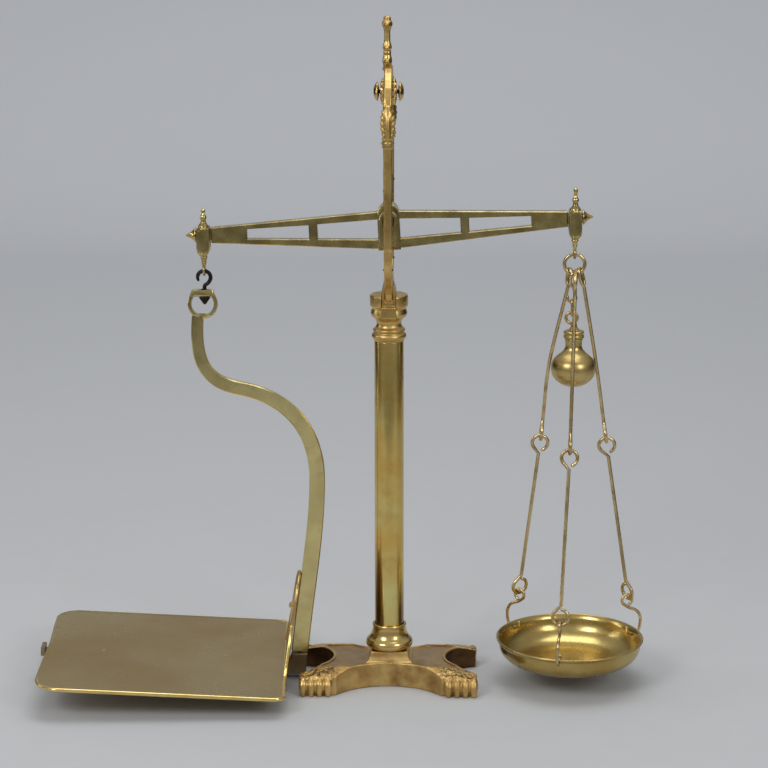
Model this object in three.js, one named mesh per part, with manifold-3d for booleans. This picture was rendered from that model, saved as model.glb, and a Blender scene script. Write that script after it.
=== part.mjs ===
// Brass counter scale: a tilted beam in a lyre frame on a column, a goods plate
// on a swan-neck arm at the left and a round pan on wire links at the right.
// Units are millimetres, +X runs towards the pan, +Y away from the front, +Z up.
// The origin is on the table, on the axis of the column.
import * as THREE from 'three';
import { mergeVertices } from 'three/addons/utils/BufferGeometryUtils.js';
import Module from 'manifold-3d';

const wasm = await Module();
wasm.setup();

// ---------- driving dimensions ----------
const GAP = 0.3;

const BASE_HALF_X = 86.3;
const BASE_HALF_Y = 55.3;
const BASE_HEIGHT = 24.5;
const BASE_RIM = 3.2;
const BASE_RECESS = 1.2;
const FRONT_NOTCH_HALF = 54;
const FRONT_NOTCH_DEPTH = 31.8;
const SIDE_NOTCH_HALF = 33.7;
const SIDE_NOTCH_DEPTH = 30.8;
const PAW_SLOPE = 20;
const ANKLE_SLOPE = 15;
const PLINTH_LOW = 22.6;
const PLINTH_HIGH = 18;
const PLINTH_TOP = 34;

const COLUMN_RADIUS = 14.1;
const COLUMN_WALL = 1.5;
const COLUMN_TOP = 341;
const ROD_RADIUS = 3.5;
const ROD_LOW = 9;
const ROD_HIGH = 371;
const SLOT_FLOOR = 364.5;
const SLOT_WIDTH = 14.6;

const FRAME_THICK = 7.6;
const FRAME_OUT = 45.5;
const FRAME_IN = 36.5;
const FOOT_WIDTH = 14;
const BOSS_HEIGHT = 578.5;
const BOSS_RADIUS = 9.5;
const PIN_HIGH = 491;
const PIN_LOW = 415.5;

const FULCRUM_Z = 452.5;
const TILT = THREE.MathUtils.degToRad(2.8);
const ARM_LENGTH = 176;
const BEAM_THICK = 9;
const HUB_HALF = 10.4;
const HUB_THICK = 18;
const END_KNIFE = { height: 5.2, half: 2.7, reach: 8.6 };
const MAIN_KNIFE = { height: 9, half: 3.3, reach: 32.2 };

const END_X = ARM_LENGTH * Math.cos(TILT);
const END_DROP = ARM_LENGTH * Math.sin(TILT);
const LEFT_Z = FULCRUM_Z - END_DROP;
const RIGHT_Z = FULCRUM_Z + END_DROP;
const EYE_DROP = 35.2;
const EYE_HOLE = 2.9;

const RING_RADIUS = 9.6;
const RING_WIRE = 1.6;
const RING_Z = RIGHT_Z - EYE_DROP - EYE_HOLE + GAP + RING_WIRE - RING_RADIUS;
const LINK_WIRE = 1.5;
const LINK_EYE = 7.6;
const LINK_FOOT_Z = 84.5;
const JOINT_Z = 241;
const PAN_X = 176.8;
const PAN_RIM_Z = 45.2;
const PAN_RADIUS = 72.1;
const HOLE_Z = 39.6;
const HOLE_RADIUS = 2.2;
const HOOK_WIRE = 1.3;
const BALL_X = 176.2;
const BALL_Y = 0.6;
const BALL_RADIUS = 21.4;
const BALL_Z = 314.6;
const BALL_EYE_X = 173.8;

const SHANK_RADIUS = 1.9;
const GOODS_YAW = THREE.MathUtils.degToRad(2.6);
const PLATE_TILT = THREE.MathUtils.degToRad(-3.3);
const PLATE_X = 237;
const PLATE_Y = 234;
const PLATE_SHEET = 1.2;
const PLATE_EDGE = 3.2;
const PLATE_RIGHT = -101.3;
const PLATE_RIGHT_Z = 20;
const UPSTAND_LEAN = THREE.MathUtils.degToRad(5.8);
const D_RING = { x: -177.8, z: 376, outer: 14.4, inner: 10.6, flat: 383.4, top: 390.2 };
const ARM_THICK = 5.6;

// ---------- materials ----------
function metal(colour, roughness) {
  return new THREE.MeshStandardMaterial({ color: colour, roughness, metalness: 1 });
}
const CAST = metal(0xb08a3e, 0.48);
const POLISHED = metal(0xc9a858, 0.22);
const BEAM_BRASS = metal(0xa99a55, 0.32);
const WIRE_BRASS = metal(0xb08d55, 0.35);
const PLATE_BRASS = metal(0xa68650, 0.4);
const STEEL = metal(0x8c8f92, 0.35);
const IRON = metal(0x2b2927, 0.6);
const LEAD = metal(0x6b6d70, 0.7);

// ---------- helpers ----------
const scale = new THREE.Group();
scale.name = 'brass_counter_scale';

function place(name, geometry, material) {
  const mesh = new THREE.Mesh(geometry, material);
  mesh.name = name;
  scale.add(mesh);
  return mesh;
}

function toSolid(geometry) {
  const plain = geometry.clone();
  plain.deleteAttribute('normal');
  plain.deleteAttribute('uv');
  const merged = mergeVertices(plain, 1e-4);
  const corners = merged.index.array;
  const kept = [];
  for (let i = 0; i < corners.length; i += 3) {
    const [a, b, c] = [corners[i], corners[i + 1], corners[i + 2]];
    if (a !== b && b !== c && c !== a) {
      kept.push(a, b, c);
    }
  }
  const mesh = new wasm.Mesh({
    numProp: 3,
    vertProperties: new Float32Array(merged.attributes.position.array),
    triVerts: new Uint32Array(kept),
  });
  return new wasm.Manifold(mesh);
}

function toGeometry(solid) {
  const mesh = solid.getMesh();
  const geometry = new THREE.BufferGeometry();
  geometry.setAttribute('position', new THREE.BufferAttribute(mesh.vertProperties, 3));
  geometry.setIndex(new THREE.BufferAttribute(mesh.triVerts, 1));
  geometry.computeVertexNormals();
  return geometry;
}

function join(first, ...others) {
  let solid = toSolid(first);
  for (const other of others) {
    solid = solid.add(toSolid(other));
  }
  return toGeometry(solid);
}

function cut(first, ...others) {
  let solid = toSolid(first);
  for (const other of others) {
    solid = solid.subtract(toSolid(other));
  }
  return toGeometry(solid);
}

function box(x0, x1, y0, y1, z0, z1) {
  const geometry = new THREE.BoxGeometry(x1 - x0, y1 - y0, z1 - z0);
  return geometry.translate((x0 + x1) / 2, (y0 + y1) / 2, (z0 + z1) / 2);
}

function rodX(x0, x1, y, z, radius, sides = 12) {
  const geometry = new THREE.CylinderGeometry(radius, radius, x1 - x0, sides);
  return geometry.rotateZ(Math.PI / 2).translate((x0 + x1) / 2, y, z);
}

function rodZ(x, y, z0, z1, radius, sides = 16) {
  const geometry = new THREE.CylinderGeometry(radius, radius, z1 - z0, sides);
  return geometry.rotateX(Math.PI / 2).translate(x, y, (z0 + z1) / 2);
}

// Profile pairs are radius and height, listed anticlockwise in that plane.
function turned(profile, sides) {
  const points = profile.map(([radius, height]) => new THREE.Vector2(radius, height));
  return new THREE.LatheGeometry(points, sides).rotateX(Math.PI / 2);
}

function closedTurned(profile, sides) {
  return turned([...profile, profile[0]], sides);
}

function extruded(shape, thickness, bevel = 0, curveSegments = 8) {
  const geometry = new THREE.ExtrudeGeometry(shape, {
    depth: thickness - 2 * bevel,
    bevelEnabled: bevel > 0,
    bevelThickness: bevel,
    bevelSize: bevel,
    bevelOffset: -bevel,
    bevelSegments: 1,
    curveSegments,
  });
  return geometry.translate(0, 0, bevel - thickness / 2);
}

// Shape drawn in X and Z, centred on Y = 0.
function uprightXZ(shape, thickness, bevel, curveSegments) {
  return extruded(shape, thickness, bevel, curveSegments).rotateX(Math.PI / 2);
}

// Shape drawn in Y and Z, centred on X = 0.
function uprightYZ(shape, thickness, bevel, curveSegments) {
  const turn = new THREE.Matrix4().makeBasis(
    new THREE.Vector3(0, 1, 0),
    new THREE.Vector3(0, 0, 1),
    new THREE.Vector3(1, 0, 0),
  );
  return extruded(shape, thickness, bevel, curveSegments).applyMatrix4(turn);
}

function polygon(points) {
  return new THREE.Shape(points.map(([a, b]) => new THREE.Vector2(a, b)));
}

function hole(points) {
  return new THREE.Path(points.map(([a, b]) => new THREE.Vector2(a, b)));
}

// A bent wire keeps every given point, so tight bends are sampled finely.
class BentWire extends THREE.Curve {
  constructor(points) {
    super();
    this.points = points;
  }

  getPointAt(u) {
    return this.points[Math.round(u * (this.points.length - 1))].clone();
  }

  getTangentAt(u) {
    const i = Math.round(u * (this.points.length - 1));
    const before = this.points[Math.max(i - 1, 0)];
    const after = this.points[Math.min(i + 1, this.points.length - 1)];
    return after.clone().sub(before).normalize();
  }
}

function wire(points, radius, sides = 7) {
  const section = new THREE.Shape();
  for (let i = 0; i < sides; i += 1) {
    const angle = (2 * Math.PI * i) / sides;
    const [x, y] = [radius * Math.cos(angle), radius * Math.sin(angle)];
    if (i === 0) {
      section.moveTo(x, y);
    } else {
      section.lineTo(x, y);
    }
  }
  return new THREE.ExtrudeGeometry(section, {
    steps: points.length - 1,
    extrudePath: new BentWire(points),
    bevelEnabled: false,
    curveSegments: 1,
  });
}

function arc(centre, along, aside, radius, fromDeg, toDeg, steps) {
  const points = [];
  for (let i = 0; i <= steps; i += 1) {
    const angle = THREE.MathUtils.degToRad(fromDeg + ((toDeg - fromDeg) * i) / steps);
    const point = centre.clone();
    point.addScaledVector(along, radius * Math.cos(angle));
    point.addScaledVector(aside, radius * Math.sin(angle));
    points.push(point);
  }
  return points;
}

function smooth(points, steps) {
  return new THREE.CatmullRomCurve3(points, false, 'centripetal').getPoints(steps);
}

function ringXZ(x, z, radius, tube, around = 22) {
  const geometry = new THREE.TorusGeometry(radius, tube, 7, around);
  return geometry.rotateX(Math.PI / 2).translate(x, 0, z);
}

function ringYZ(x, z, radius, tube, around = 20) {
  const geometry = new THREE.TorusGeometry(radius, tube, 6, around);
  return geometry.rotateY(Math.PI / 2).translate(x, 0, z);
}

// ---------- base ----------
// Four corners joined by a web; a round bite is taken out of every side.
function baseOutline(inset) {
  const halfX = BASE_HALF_X - inset;
  const halfY = BASE_HALF_Y - inset;
  const frontR = (FRONT_NOTCH_HALF ** 2 + FRONT_NOTCH_DEPTH ** 2) / (2 * FRONT_NOTCH_DEPTH);
  const sideR = (SIDE_NOTCH_HALF ** 2 + SIDE_NOTCH_DEPTH ** 2) / (2 * SIDE_NOTCH_DEPTH);
  const frontCentre = BASE_HALF_Y - FRONT_NOTCH_DEPTH + frontR;
  const sideCentre = BASE_HALF_X - SIDE_NOTCH_DEPTH + sideR;
  const frontAngle = Math.acos((frontCentre - halfY) / (frontR + inset));
  const sideAngle = Math.acos((sideCentre - halfX) / (sideR + inset));
  const half = Math.PI / 2;
  const shape = new THREE.Shape();
  shape.moveTo(halfX, halfY);
  shape.absarc(0, frontCentre, frontR + inset, -half + frontAngle, -half - frontAngle, true);
  shape.lineTo(-halfX, halfY);
  shape.absarc(-sideCentre, 0, sideR + inset, sideAngle, -sideAngle, true);
  shape.lineTo(-halfX, -halfY);
  shape.absarc(0, -frontCentre, frontR + inset, half + frontAngle, half - frontAngle, true);
  shape.lineTo(halfX, -halfY);
  shape.absarc(sideCentre, 0, sideR + inset, Math.PI + sideAngle, Math.PI - sideAngle, true);
  return shape;
}

function plinth() {
  const flank = [
    [PLINTH_LOW, BASE_HEIGHT - 2],
    [PLINTH_LOW, BASE_HEIGHT],
    [PLINTH_LOW - 3.4, BASE_HEIGHT + 3.4],
    [PLINTH_HIGH, PLINTH_TOP],
  ];
  const profile = flank.map(([half, height]) => [half * Math.SQRT2, height]);
  const rows = [[0, BASE_HEIGHT - 2], ...profile, [0, PLINTH_TOP]];
  return turned(rows, 4).rotateZ(Math.PI / 4);
}

function toe(x, side) {
  const lump = new THREE.SphereGeometry(1, 8, 6);
  lump.scale(4.3, 7.5, 9.5);
  return lump.translate(x, side * (BASE_HALF_Y - 7.5), 6.8);
}

function buildBase() {
  const slab = extruded(baseOutline(0), BASE_HEIGHT, 0, 11).translate(0, 0, BASE_HEIGHT / 2);
  const recess = extruded(baseOutline(BASE_RIM), 4, 0, 11);
  recess.translate(0, 0, BASE_HEIGHT - BASE_RECESS + 2);
  const solids = [];
  for (const side of [-1, 1]) {
    const slope = box(-100, 100, 0, 60, 0, 30);
    slope.rotateX(THREE.MathUtils.degToRad(-PAW_SLOPE));
    slope.rotateZ(side < 0 ? Math.PI : 0).translate(0, side * 34, BASE_HEIGHT);
    solids.push(slope);
  }
  for (const side of [-1, 1]) {
    for (const end of [-1, 1]) {
      const outer = box(0, 60, -60, 60, 0, 30);
      outer.rotateY(THREE.MathUtils.degToRad(ANKLE_SLOPE));
      outer.rotateZ(Math.atan2(side * 0.6, end * 0.8)).translate(end * 62, side * 26, BASE_HEIGHT);
      solids.push(outer);
    }
  }
  const frontTrim = box(-100, 100, -60, -BASE_HALF_Y + 6, -1, 30);
  const rearTrim = box(-100, 100, BASE_HALF_Y - 6, 60, -1, 30);
  const keep = box(-100, 100, -33, 33, 0, 40);
  const panelCut = toSolid(recess).intersect(toSolid(keep));
  let body = toSolid(slab).subtract(panelCut);
  for (const solid of [...solids, frontTrim, rearTrim]) {
    body = body.subtract(toSolid(solid));
  }
  body = body.add(toSolid(plinth()));
  for (const side of [-1, 1]) {
    for (const end of [-1, 1]) {
      for (let i = 0; i < 4; i += 1) {
        body = body.add(toSolid(toe(end * (58.5 + i * 7.8), side)));
      }
    }
  }
  body = body.subtract(toSolid(box(-120, 120, -80, 80, -20, 0)));
  body = body.subtract(toSolid(rodZ(0, 0, ROD_LOW - 1, PLINTH_TOP + 5, ROD_RADIUS + GAP)));
  place('base_casting', toGeometry(body), CAST);
}

// ---------- column ----------
function buildColumn() {
  const inner = COLUMN_RADIUS + GAP;
  const low = PLINTH_TOP + GAP;
  place('base_collar', closedTurned([
    [inner, low], [20, low], [22.4, low + 2], [23.3, low + 5.2], [22.2, low + 8.4],
    [19.4, low + 10.8], [17.2, low + 14.6], [16.2, low + 19.5], [16, low + 22],
    [16.6, low + 22.6], [16.2, low + 24.4], [inner, low + 24.6],
  ], 24), POLISHED);
  const hollow = COLUMN_RADIUS - COLUMN_WALL;
  place('column_tube', closedTurned([
    [hollow, low], [COLUMN_RADIUS, low], [COLUMN_RADIUS, COLUMN_TOP], [hollow, COLUMN_TOP],
  ], 28), POLISHED);
  place('tie_rod', rodZ(0, 0, ROD_LOW, ROD_HIGH, ROD_RADIUS), STEEL);
}

function buildCapital() {
  const bore = ROD_RADIUS + GAP;
  const spigot = COLUMN_RADIUS - COLUMN_WALL - 2 * GAP;
  const low = COLUMN_TOP + GAP;
  const body = closedTurned([
    [bore, low - 11], [spigot, low - 11], [spigot, low], [14.6, low], [14.6, low + 1.5],
    [16.1, low + 2.8], [16.8, low + 4.9], [16.1, low + 7], [14.5, low + 8.2],
    [14.5, low + 9.2], [15.4, low + 9.8], [15.4, low + 11.6], [14.2, low + 12.4],
    [12.4, low + 14], [11.7, low + 17], [12.4, low + 20], [14.5, low + 22.4],
    [16.6, low + 23.8], [17.7, low + 26.9], [16.8, low + 30], [16.3, low + 31.4],
    [16.8, low + 32.8], [18.2, low + 34.2], [18.2, low + 43.8], [17.2, low + 44.9],
    [bore, low + 44.9],
  ], 20);
  const slot = box(-SLOT_WIDTH / 2, SLOT_WIDTH / 2, -20, 20, SLOT_FLOOR, 395);
  const nutSeat = rodZ(0, 0, 358, 368, 7.7, 24);
  const screwBores = rodX(-20, 20, 0, 381, 1.9, 12);
  place('capital', cut(body, slot, nutSeat, screwBores), CAST);
  const nut = cut(rodZ(0, 0, 358.3, 363.9, 7, 6), rodZ(0, 0, 350, 370, ROD_RADIUS + GAP));
  place('tie_rod_nut', nut, STEEL);
  for (const [name, side] of [['foot_screw_left', -1], ['foot_screw_right', 1]]) {
    const screw = turned([[0, 3], [1.6, 3], [1.6, 17.7], [0, 17.7]], 12);
    screw.rotateY(Math.PI / 2 * side).translate(0, 0, 381);
    place(name, screw, STEEL);
  }
}

// ---------- lyre frame ----------
function frameLoop() {
  const shape = new THREE.Shape();
  shape.moveTo(12, 380);
  shape.bezierCurveTo(18, 402, FRAME_OUT, 402, FRAME_OUT, 438);
  shape.lineTo(FRAME_OUT, 552);
  shape.bezierCurveTo(FRAME_OUT, 585, 22, 600, 5, 603);
  shape.lineTo(-5, 603);
  shape.bezierCurveTo(-22, 600, -FRAME_OUT, 585, -FRAME_OUT, 552);
  shape.lineTo(-FRAME_OUT, 438);
  shape.bezierCurveTo(-FRAME_OUT, 402, -18, 402, -12, 380);
  const opening = new THREE.Path();
  opening.moveTo(0, 404.5);
  opening.bezierCurveTo(-22, 404.5, -FRAME_IN, 414, -FRAME_IN, 440);
  opening.lineTo(-FRAME_IN, 552);
  opening.bezierCurveTo(-FRAME_IN, 573, -18, 586, 0, 586);
  opening.bezierCurveTo(18, 586, FRAME_IN, 573, FRAME_IN, 552);
  opening.lineTo(FRAME_IN, 440);
  opening.bezierCurveTo(FRAME_IN, 414, 22, 404.5, 0, 404.5);
  shape.holes.push(opening);
  return uprightYZ(shape, FRAME_THICK, 1, 7);
}

function frameFoot() {
  const half = FOOT_WIDTH / 2;
  const low = SLOT_FLOOR + GAP;
  const tongue = box(-half, half, -17.3, 17.3, low, 376);
  const stem = polygon([
    [-half, 375], [half, 375], [half, 389], [4.6, 399], [3.5, 409], [-3.5, 409],
    [-4.6, 399], [-half, 389],
  ]);
  return [tongue, uprightXZ(stem, 24, 0, 1)];
}

function finial() {
  return turned([
    [0, 598], [4.6, 598], [4.6, 601], [3.6, 601.6], [4.5, 606], [4.4, 609.5], [3.4, 613],
    [3.8, 613.6], [3.8, 615.6], [3, 616.2], [4.4, 619.5], [3.8, 622.6], [3, 625], [2.9, 634],
    [3.6, 637], [5, 639.5], [4.9, 643], [3.4, 644.6], [3.6, 647], [2, 648.6], [0, 648.8],
  ], 12).translate(-1.3, 0, 0);
}

function frameDress(side) {
  const collar = box(-5, 5, side * 41 - 6, side * 41 + 6, 531, 539.5);
  const leaf = new THREE.SphereGeometry(1, 10, 8);
  leaf.scale(6.4, 6.4, 15).translate(0, side * 41.5, 556);
  return [collar, leaf];
}

function buildFrame() {
  const boss = rodX(-7.7, 7.7, 0, BOSS_HEIGHT, BOSS_RADIUS, 20);
  const additions = [boss, ...frameFoot(), finial(), ...frameDress(-1), ...frameDress(1)];
  let body = toSolid(frameLoop());
  for (const extra of additions) {
    body = body.add(toSolid(extra));
  }
  const voids = [
    rodZ(0, 0, 360, ROD_HIGH + 1, ROD_RADIUS + GAP),
    rodX(-9, 9, 0, BOSS_HEIGHT, 2.4, 16),
    rodX(-10, -2.6, 0, 381, 1.9, 12),
    rodX(2.6, 10, 0, 381, 1.9, 12),
  ];
  for (const side of [-1, 1]) {
    const [near, far] = side > 0 ? [1, 1] : [-1, -1];
    const upper = [near * 36, far * 43].sort((a, b) => a - b);
    const lower = [near * 32.2, far * 36.6].sort((a, b) => a - b);
    voids.push(box(-2.1, 2.1, upper[0], upper[1], PIN_HIGH - 3.9, PIN_HIGH + 3.9));
    voids.push(box(-2.1, 2.1, lower[0], lower[1], 410.6, 442));
    voids.push(rodX(-9, 9, side * 39.6, PIN_HIGH, 1.3, 10));
    voids.push(rodX(-9, 9, side * 34.4, PIN_LOW, 1.3, 10));
  }
  for (const empty of voids) {
    body = body.subtract(toSolid(empty));
  }
  place('beam_frame', toGeometry(body), CAST);
}

function bearing(name, side) {
  const outline = new THREE.Shape();
  outline.moveTo(-8.5, 437);
  outline.lineTo(8.5, 437);
  outline.lineTo(8.5, 462);
  outline.absarc(0, 462, 8.5, 0, Math.PI, false);
  const low = FULCRUM_Z - GAP;
  outline.holes.push(hole([[0, low], [-5.2, low + 6], [-5.2, low + 12], [5.2, low + 12], [5.2, low + 6]]));
  const block = uprightXZ(outline, 8.6, 0.6, 8).translate(0, side * 28.3, 0);
  const inner = side * 32.6;
  const outer = side * 36.2;
  const strip = box(-3.2, 3.2, Math.min(inner, outer), Math.max(inner, outer), 441, 497);
  const top = [side * 35.8, side * 42.4].sort((a, b) => a - b);
  const tail = [side * 32.9, side * 36].sort((a, b) => a - b);
  const tongue = box(-1.7, 1.7, top[0], top[1], PIN_HIGH - 3.5, PIN_HIGH + 3.5);
  const tang = box(-1.7, 1.7, tail[0], tail[1], 411, 442);
  const body = join(block, strip, tongue, tang);
  const bores = [
    rodX(-9, 9, side * 39.6, PIN_HIGH, 1.3, 10),
    rodX(-9, 9, side * 34.4, PIN_LOW, 1.3, 10),
  ];
  place(name, cut(body, ...bores), BEAM_BRASS);
}

function buildFrameTrim() {
  bearing('front_bearing', -1);
  bearing('rear_bearing', 1);
  for (const [word, side] of [['front', -1], ['rear', 1]]) {
    place(`${word}_upper_pin`, rodX(-4.6, 4.6, side * 39.6, PIN_HIGH, 1, 10), IRON);
    place(`${word}_lower_pin`, rodX(-4.6, 4.6, side * 34.4, PIN_LOW, 1, 10), IRON);
  }
  place('crest_bolt', rodX(-11.5, 12, 0, BOSS_HEIGHT, 2.1, 12), IRON);
  for (const [name, side] of [['crest_knob_left', -1], ['crest_knob_right', 1]]) {
    const knob = closedTurned([
      [2.4, 8.9], [4.2, 8.9], [9, 10.2], [9, 11], [6.6, 13], [3.6, 14.1], [2.4, 14.2],
    ], 20);
    knob.rotateY((Math.PI / 2) * side);
    place(name, knob.translate(0, 0, BOSS_HEIGHT), POLISHED);
  }
}

// ---------- beam ----------
function beamProfile() {
  return polygon([
    [0, -22], [HUB_HALF, -21.8], [168.6, -8.9], [168.6, 5.6], [HUB_HALF, 13.6],
    [-HUB_HALF, 13.6], [-168.6, 5.6], [-168.6, -8.9], [-HUB_HALF, -21.8],
  ]);
}

function beamWindows(shape, side) {
  const windows = [
    [[HUB_HALF, 6.3], [HUB_HALF, -12.8], [67.6, -9.9], [67.6, 4.3]],
    [[75.8, 3.9], [75.8, -9.5], [134.4, -6.5], [134.4, 2.9]],
  ];
  for (const corners of windows) {
    shape.holes.push(hole(corners.map(([x, z]) => [side * x, z])));
  }
}

function knifeShape(knife, up) {
  return polygon([[0, 0], [-knife.half, -up * knife.height], [knife.half, -up * knife.height]]);
}

function grownKnife(knife, up, reach) {
  const slope = knife.half / knife.height;
  const half = knife.half + 0.5;
  const depth = knife.height + GAP;
  const rise = (half - slope * depth) / slope;
  const outline = polygon([[0, up * rise], [-half, -up * depth], [half, -up * depth]]);
  return uprightXZ(outline, 2 * reach, 0, 1);
}

function onBeam(geometry) {
  return geometry.rotateY(-TILT).translate(0, 0, FULCRUM_Z);
}

function buildBeam() {
  const profile = beamProfile();
  beamWindows(profile, 1);
  beamWindows(profile, -1);
  const hubShape = new THREE.Shape();
  hubShape.moveTo(-HUB_HALF, -22.8);
  hubShape.lineTo(HUB_HALF, -22.8);
  hubShape.lineTo(HUB_HALF, 11.3);
  hubShape.absarc(0, 11.3, HUB_HALF, 0, Math.PI, false);
  const parts = [uprightXZ(hubShape, HUB_THICK, 0.8, 8)];
  for (const side of [-1, 1]) {
    const [near, far] = [side * 168, side * 182.6].sort((a, b) => a - b);
    parts.push(box(near, far, -3.5, 3.5, -6, 3.6));
  }
  const body = join(uprightXZ(profile, BEAM_THICK, 0.7, 1), ...parts);
  const cuts = [grownKnife(MAIN_KNIFE, -1, 12)];
  for (const side of [-1, 1]) {
    cuts.push(grownKnife(END_KNIFE, 1, 6).translate(side * ARM_LENGTH, 0, 0));
    cuts.push(rodX(Math.min(side * 177, side * 190), Math.max(side * 177, side * 190), 0, -1, 1.6));
  }
  cuts.push(rodZ(0, 0, 14, 40, 1.5, 10));
  place('beam', onBeam(cut(body, ...cuts)), BEAM_BRASS);
  const main = uprightXZ(knifeShape(MAIN_KNIFE, -1), 2 * MAIN_KNIFE.reach, 0, 1);
  place('centre_knife_edge', onBeam(main), STEEL);
  const pointer = turned([[0, 15], [1.2, 15], [1.2, 23.4], [2.2, 23.6], [1.6, 26], [0.5, 44], [0, 44]], 10);
  place('pointer', onBeam(pointer), STEEL);
  for (const [word, side] of [['left', -1], ['right', 1]]) {
    const knife = uprightXZ(knifeShape(END_KNIFE, 1), 2 * END_KNIFE.reach, 0, 1);
    place(`${word}_knife_edge`, onBeam(knife.translate(side * ARM_LENGTH, 0, 0)), STEEL);
    const tip = turned([
      [0, -2.2], [1.3, -2.2], [1.3, 0], [7.4, 0], [7.2, 1.2], [4.4, 2.8], [2.4, 5], [1.2, 8],
      [0.9, 9.6], [0, 9.8],
    ], 16);
    tip.rotateY((Math.PI / 2) * side).translate(side * 182.9, 0, -1);
    place(`${word}_tip_finial`, onBeam(tip), POLISHED);
  }
}

// ---------- box ends ----------
function boxOutline(pivot) {
  return polygon([
    [-5.6, pivot - 17], [-3, pivot - 20], [3, pivot - 20], [5.6, pivot - 17], [6.2, pivot - 11],
    [5.8, pivot + 5.4], [4.8, pivot + 6.6], [-4.8, pivot + 6.6], [-5.8, pivot + 5.4], [-6.2, pivot - 11],
  ]);
}

function boxEnd(word, x, pivot, tip) {
  const body = uprightXZ(boxOutline(pivot), 20, 0.8, 1);
  const crown = turned([
    [0, 6], [5.2, 6], [5, 7.4], [3.4, 9.6], [2.3, 12.6], [3, 14.4], [3.1, 16.4], [2, 18.2],
    [1.3, 20], [2.1, tip - 4.4], [1.9, tip - 2.4], [0.9, tip - 1.6], [0, tip],
  ], 12).translate(0, 0, pivot);
  const stem = turned([
    [0, -32], [1.4, -32], [2, -30], [2.4, -27], [3, -23.5], [3.4, -22.6], [3, -21.8], [3.8, -19.5],
    [0, -19.5],
  ], 12).translate(0, 0, pivot);
  const eye = ringYZ(0, pivot - EYE_DROP, EYE_HOLE + 1.35, 1.35, 20);
  const whole = join(body, crown, stem, eye);
  const passage = box(-9, 9, -4.6, 4.6, pivot - 13, pivot + 4.6);
  const pockets = box(-4, 4, -9, 9, pivot - 7, pivot + 4.6);
  place(`${word}_box_end`, cut(whole, passage, pockets).translate(x, 0, 0), BEAM_BRASS);
  const seat = polygon([
    [-3.6, 4.2], [-3.6, -1.3], [-1.6, -1.3], [0, GAP], [1.6, -1.3], [3.6, -1.3], [3.6, 4.2],
  ]);
  for (const [place2, side] of [['front', -1], ['rear', 1]]) {
    const insert = uprightXZ(seat, 3.6, 0, 1).translate(x, side * 6.8, pivot);
    place(`${word}_${place2}_seat`, insert, STEEL);
  }
}

// ---------- goods side ----------
function buildHook() {
  const top = LEFT_Z - EYE_DROP - EYE_HOLE + GAP + SHANK_RADIUS;
  const radius = 6.2;
  const centre = new THREE.Vector3(-END_X - 0.2, 0, top - radius);
  const right = new THREE.Vector3(1, 0, 0);
  const up = new THREE.Vector3(0, 0, 1);
  const bend = arc(centre, right, up, radius, 205, -25, 14);
  const lead = smooth([
    bend[bend.length - 1],
    new THREE.Vector3(-END_X + 3.6, 0, top - 11.6),
    new THREE.Vector3(-END_X + 0.5, 0, top - 14),
    new THREE.Vector3(-END_X, 0, top - 16.6),
  ], 6).slice(1);
  const shank = new THREE.Vector3(-END_X, 0, 381.6);
  const body = wire([...bend, ...lead, shank], SHANK_RADIUS, 10);
  const seat = D_RING.flat - GAP;
  const head = turned([[0, 375.4], [1.2, 375.8], [5.2, 381.6], [5.2, seat], [0, seat]], 16);
  place('iron_hook', join(body, head.translate(-END_X, 0, 0)), IRON);
}

// Centre line of the swan neck, from the ring at the top to the foot.
function neckCurve() {
  const point = (x, z) => new THREE.Vector2(x, z);
  const path = new THREE.CurvePath();
  path.add(new THREE.CubicBezierCurve(point(-182.4, 366), point(-186, 322), point(-180, 300), point(-140, 292.5)));
  path.add(new THREE.CubicBezierCurve(point(-140, 292.5), point(-100, 284), point(-69, 255), point(-70, 200)));
  path.add(new THREE.CubicBezierCurve(point(-70, 200), point(-70.6, 145), point(-82, 90), point(-88.3, 27.4)));
  return path;
}

function neckShape() {
  const path = neckCurve();
  const near = [];
  const far = [];
  const steps = 28;
  for (let i = 0; i <= steps; i += 1) {
    const u = i / steps;
    const centre = path.getPointAt(u);
    const along = path.getTangentAt(u);
    const half = 5.6 + 1.9 * Math.min(1, u * 1.6);
    near.push([centre.x - along.y * half, centre.y + along.x * half]);
    far.push([centre.x + along.y * half, centre.y - along.x * half]);
  }
  return polygon([...far, ...near.reverse()]);
}

// The whole goods side is turned a little about the shank of its hook.
function onGoods(geometry) {
  return geometry.translate(END_X, 0, 0).rotateZ(GOODS_YAW).translate(-END_X, 0, 0);
}

function dRing() {
  const { x, z, outer, inner, flat, top } = D_RING;
  const shoulder = Math.atan2(flat - z, 12.6);
  const body = new THREE.Shape();
  body.moveTo(x + 9.8, top);
  body.lineTo(x - 9.8, top);
  body.lineTo(x - 12.6, flat);
  body.absarc(x, z, outer, Math.PI - shoulder, 2 * Math.PI + shoulder, false);
  const corner = Math.asin((flat - z) / inner);
  const opening = new THREE.Shape();
  opening.absarc(x, z, inner, corner, Math.PI - corner, true);
  return { body, opening };
}

function buildGoodsArm() {
  const { body, opening } = dRing();
  const ring = uprightXZ(body, ARM_THICK, 0.7, 12);
  const neck = uprightXZ(neckShape(), ARM_THICK, 0.7, 1);
  const eye = uprightXZ(opening, ARM_THICK + 4, 0, 12);
  const bore = rodZ(-END_X, 0, 380, 400, SHANK_RADIUS + GAP, 14);
  const screwHole = rodX(-100, -84, 0, 74, 1.8, 10);
  const socket = box(-91.3, -86.7, -1.8, 1.8, 20, 38);
  const arm = cut(join(ring, neck), eye, bore, screwHole, socket);
  place('goods_arm', onGoods(arm), BEAM_BRASS);
}

function onPlate(geometry) {
  return geometry.rotateY(-PLATE_TILT).translate(PLATE_RIGHT, 0, PLATE_RIGHT_Z);
}

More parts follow.
